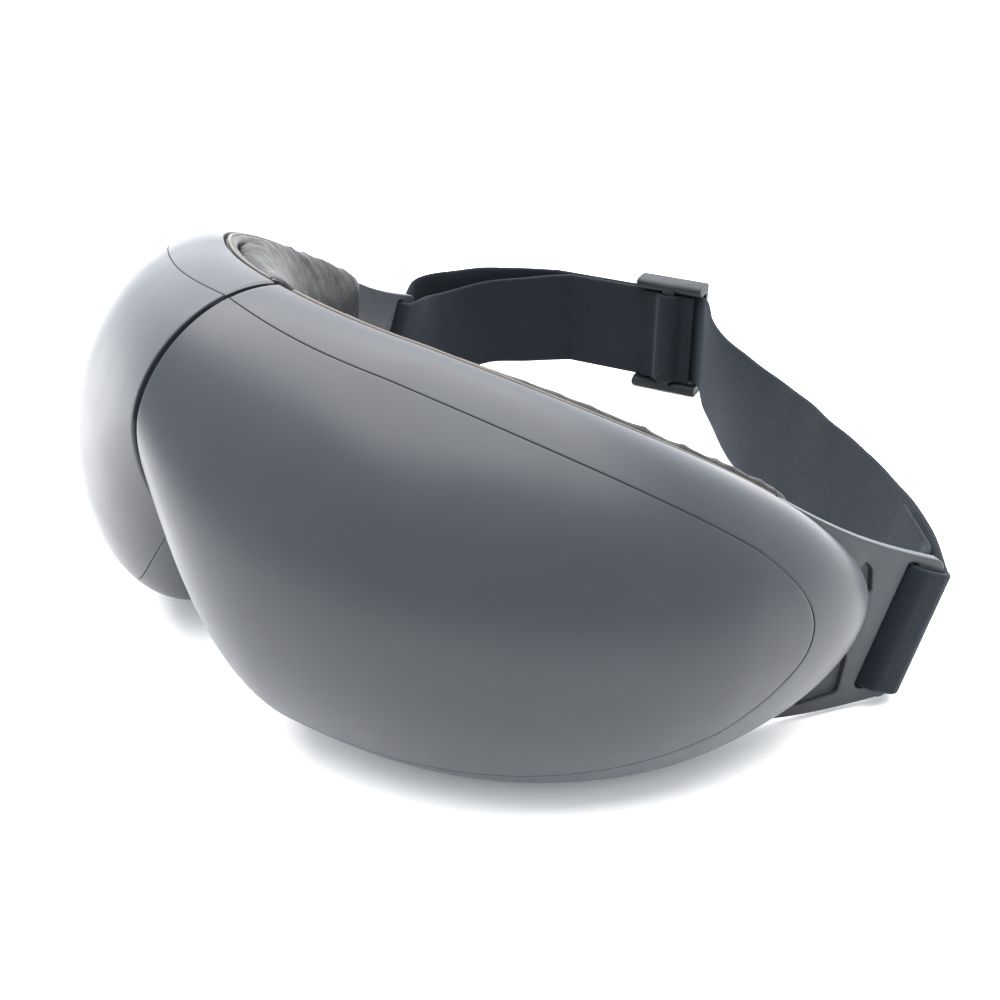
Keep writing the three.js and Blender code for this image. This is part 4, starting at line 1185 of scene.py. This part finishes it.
# ---- the strap's sewn end, turned over the slider's middle bar ----
TURN_OVER = [(8, 3.15), (6.2, 3.15), (4.6, 3.2), (3.4, 3.75), (2.6, 4.8), (1.3, 5.34)]
TURN_OVER += [(-x, inward) for x, inward in reversed(TURN_OVER)]
END_WIDE, END_THICK = STRAP_WIDE - 0.6, 1.0
turned = np.array([
    on_stretch(SLIDER_T, 0) - STRETCH_WAY * x + STRETCH_INWARD * inward for x, inward in TURN_OVER
])
turned = curve_through(turned, 60)
flat_up = np.broadcast_to(LEVEL_UP, turned.shape)
none = np.zeros(len(turned))
strap_end = ribbon_object("strap_end_fold", turned, flat_up, none, none, END_WIDE, END_THICK)
place(strap_end, "slider_body", "webbing", "webbing")


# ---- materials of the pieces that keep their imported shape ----
DRESSED = {
    "steel": ["hinge_pin", "pump_motor"],
    "black": ["hinge_cover", "pump_head", "air_valve", "button_switch"],
    "board": ["main_circuit_board", "charge_board"],
    "cell": ["battery"],
}
PAIRED = {
    "steel": ["vibration_motor", "vibration_weight", "screw_1", "screw_2", "screw_3", "hinge_leaf"],
    "black": ["speaker"],
    "vinyl": ["airbag"],
    "film": ["heating_film"],
}


def dress(node, look):
    thing = frame["nodes"][node]
    thing.data.materials.clear()
    thing.data.materials.append(LOOKS[look])


for look, names in DRESSED.items():
    for node in names:
        dress(node, look)
for look, names in PAIRED.items():
    for node in names:
        for prefix in ("left", "right"):
            dress(f"{prefix}_{node}", look)


# ---- studio: pale floor, soft lights, camera ----
TARGET = SHIFT + Vector((0.05635, 0.0233, 0.0107))
AZIMUTH, ELEVATION, DISTANCE, LENS = 51.6 * DEG, 29.7 * DEG, 0.266, 50.2


def pale_floor():
    bpy.ops.mesh.primitive_plane_add(size=12)
    floor = bpy.context.object
    floor.name = "studio_floor"
    look = Look("studio_floor", (0.9, 0.9, 0.89), 0.6, specular=0.2)
    look.tint(look.between(look.noise(160, 2), 0.4, 0.7), (0.92, 0.92, 0.92))
    floor.data.materials.append(look.material)


def soft_light(name, stands, aim, size, power, colour):
    light = bpy.data.lights.new(name, "AREA")
    light.shape = "RECTANGLE"
    light.size, light.size_y = size
    light.energy = power
    light.color = colour
    lamp = bpy.data.objects.new(name, light)
    lamp.location = stands
    lamp.rotation_euler = (Vector(aim) - Vector(stands)).to_track_quat("-Z", "Y").to_euler()
    bpy.context.scene.collection.objects.link(lamp)


def surroundings(colour, strength):
    world = bpy.data.worlds.new("studio")
    world.use_nodes = True
    fill(world.node_tree.nodes["Background"], Color=(*colour, 1), Strength=strength)
    bpy.context.scene.world = world


def view_camera():
    camera = bpy.data.cameras.new("view")
    camera.lens = LENS
    camera.sensor_width = 36
    camera.clip_start = 0.01
    camera.clip_end = 50
    level = math.cos(ELEVATION)
    back = Vector((math.sin(AZIMUTH) * level, -math.cos(AZIMUTH) * level, math.sin(ELEVATION)))
    holder = bpy.data.objects.new("view", camera)
    holder.location = TARGET + back * DISTANCE
    holder.rotation_euler = back.to_track_quat("Z", "Y").to_euler()
    bpy.context.scene.collection.objects.link(holder)
    bpy.context.scene.camera = holder


pale_floor()
surroundings((0.93, 0.96, 1.0), 1.85)
soft_light("overhead", (-0.2, 0.1, 1.25), (0, 0, 0), (2.0, 2.0), 96, (1.0, 0.985, 0.96))
soft_light("behind", (-1.4, 1.1, 0.62), (0, 0, 0.1), (3.0, 1.5), 22, (0.95, 0.97, 1.0))
view_camera()
bpy.context.scene.view_settings.view_transform = "Standard"
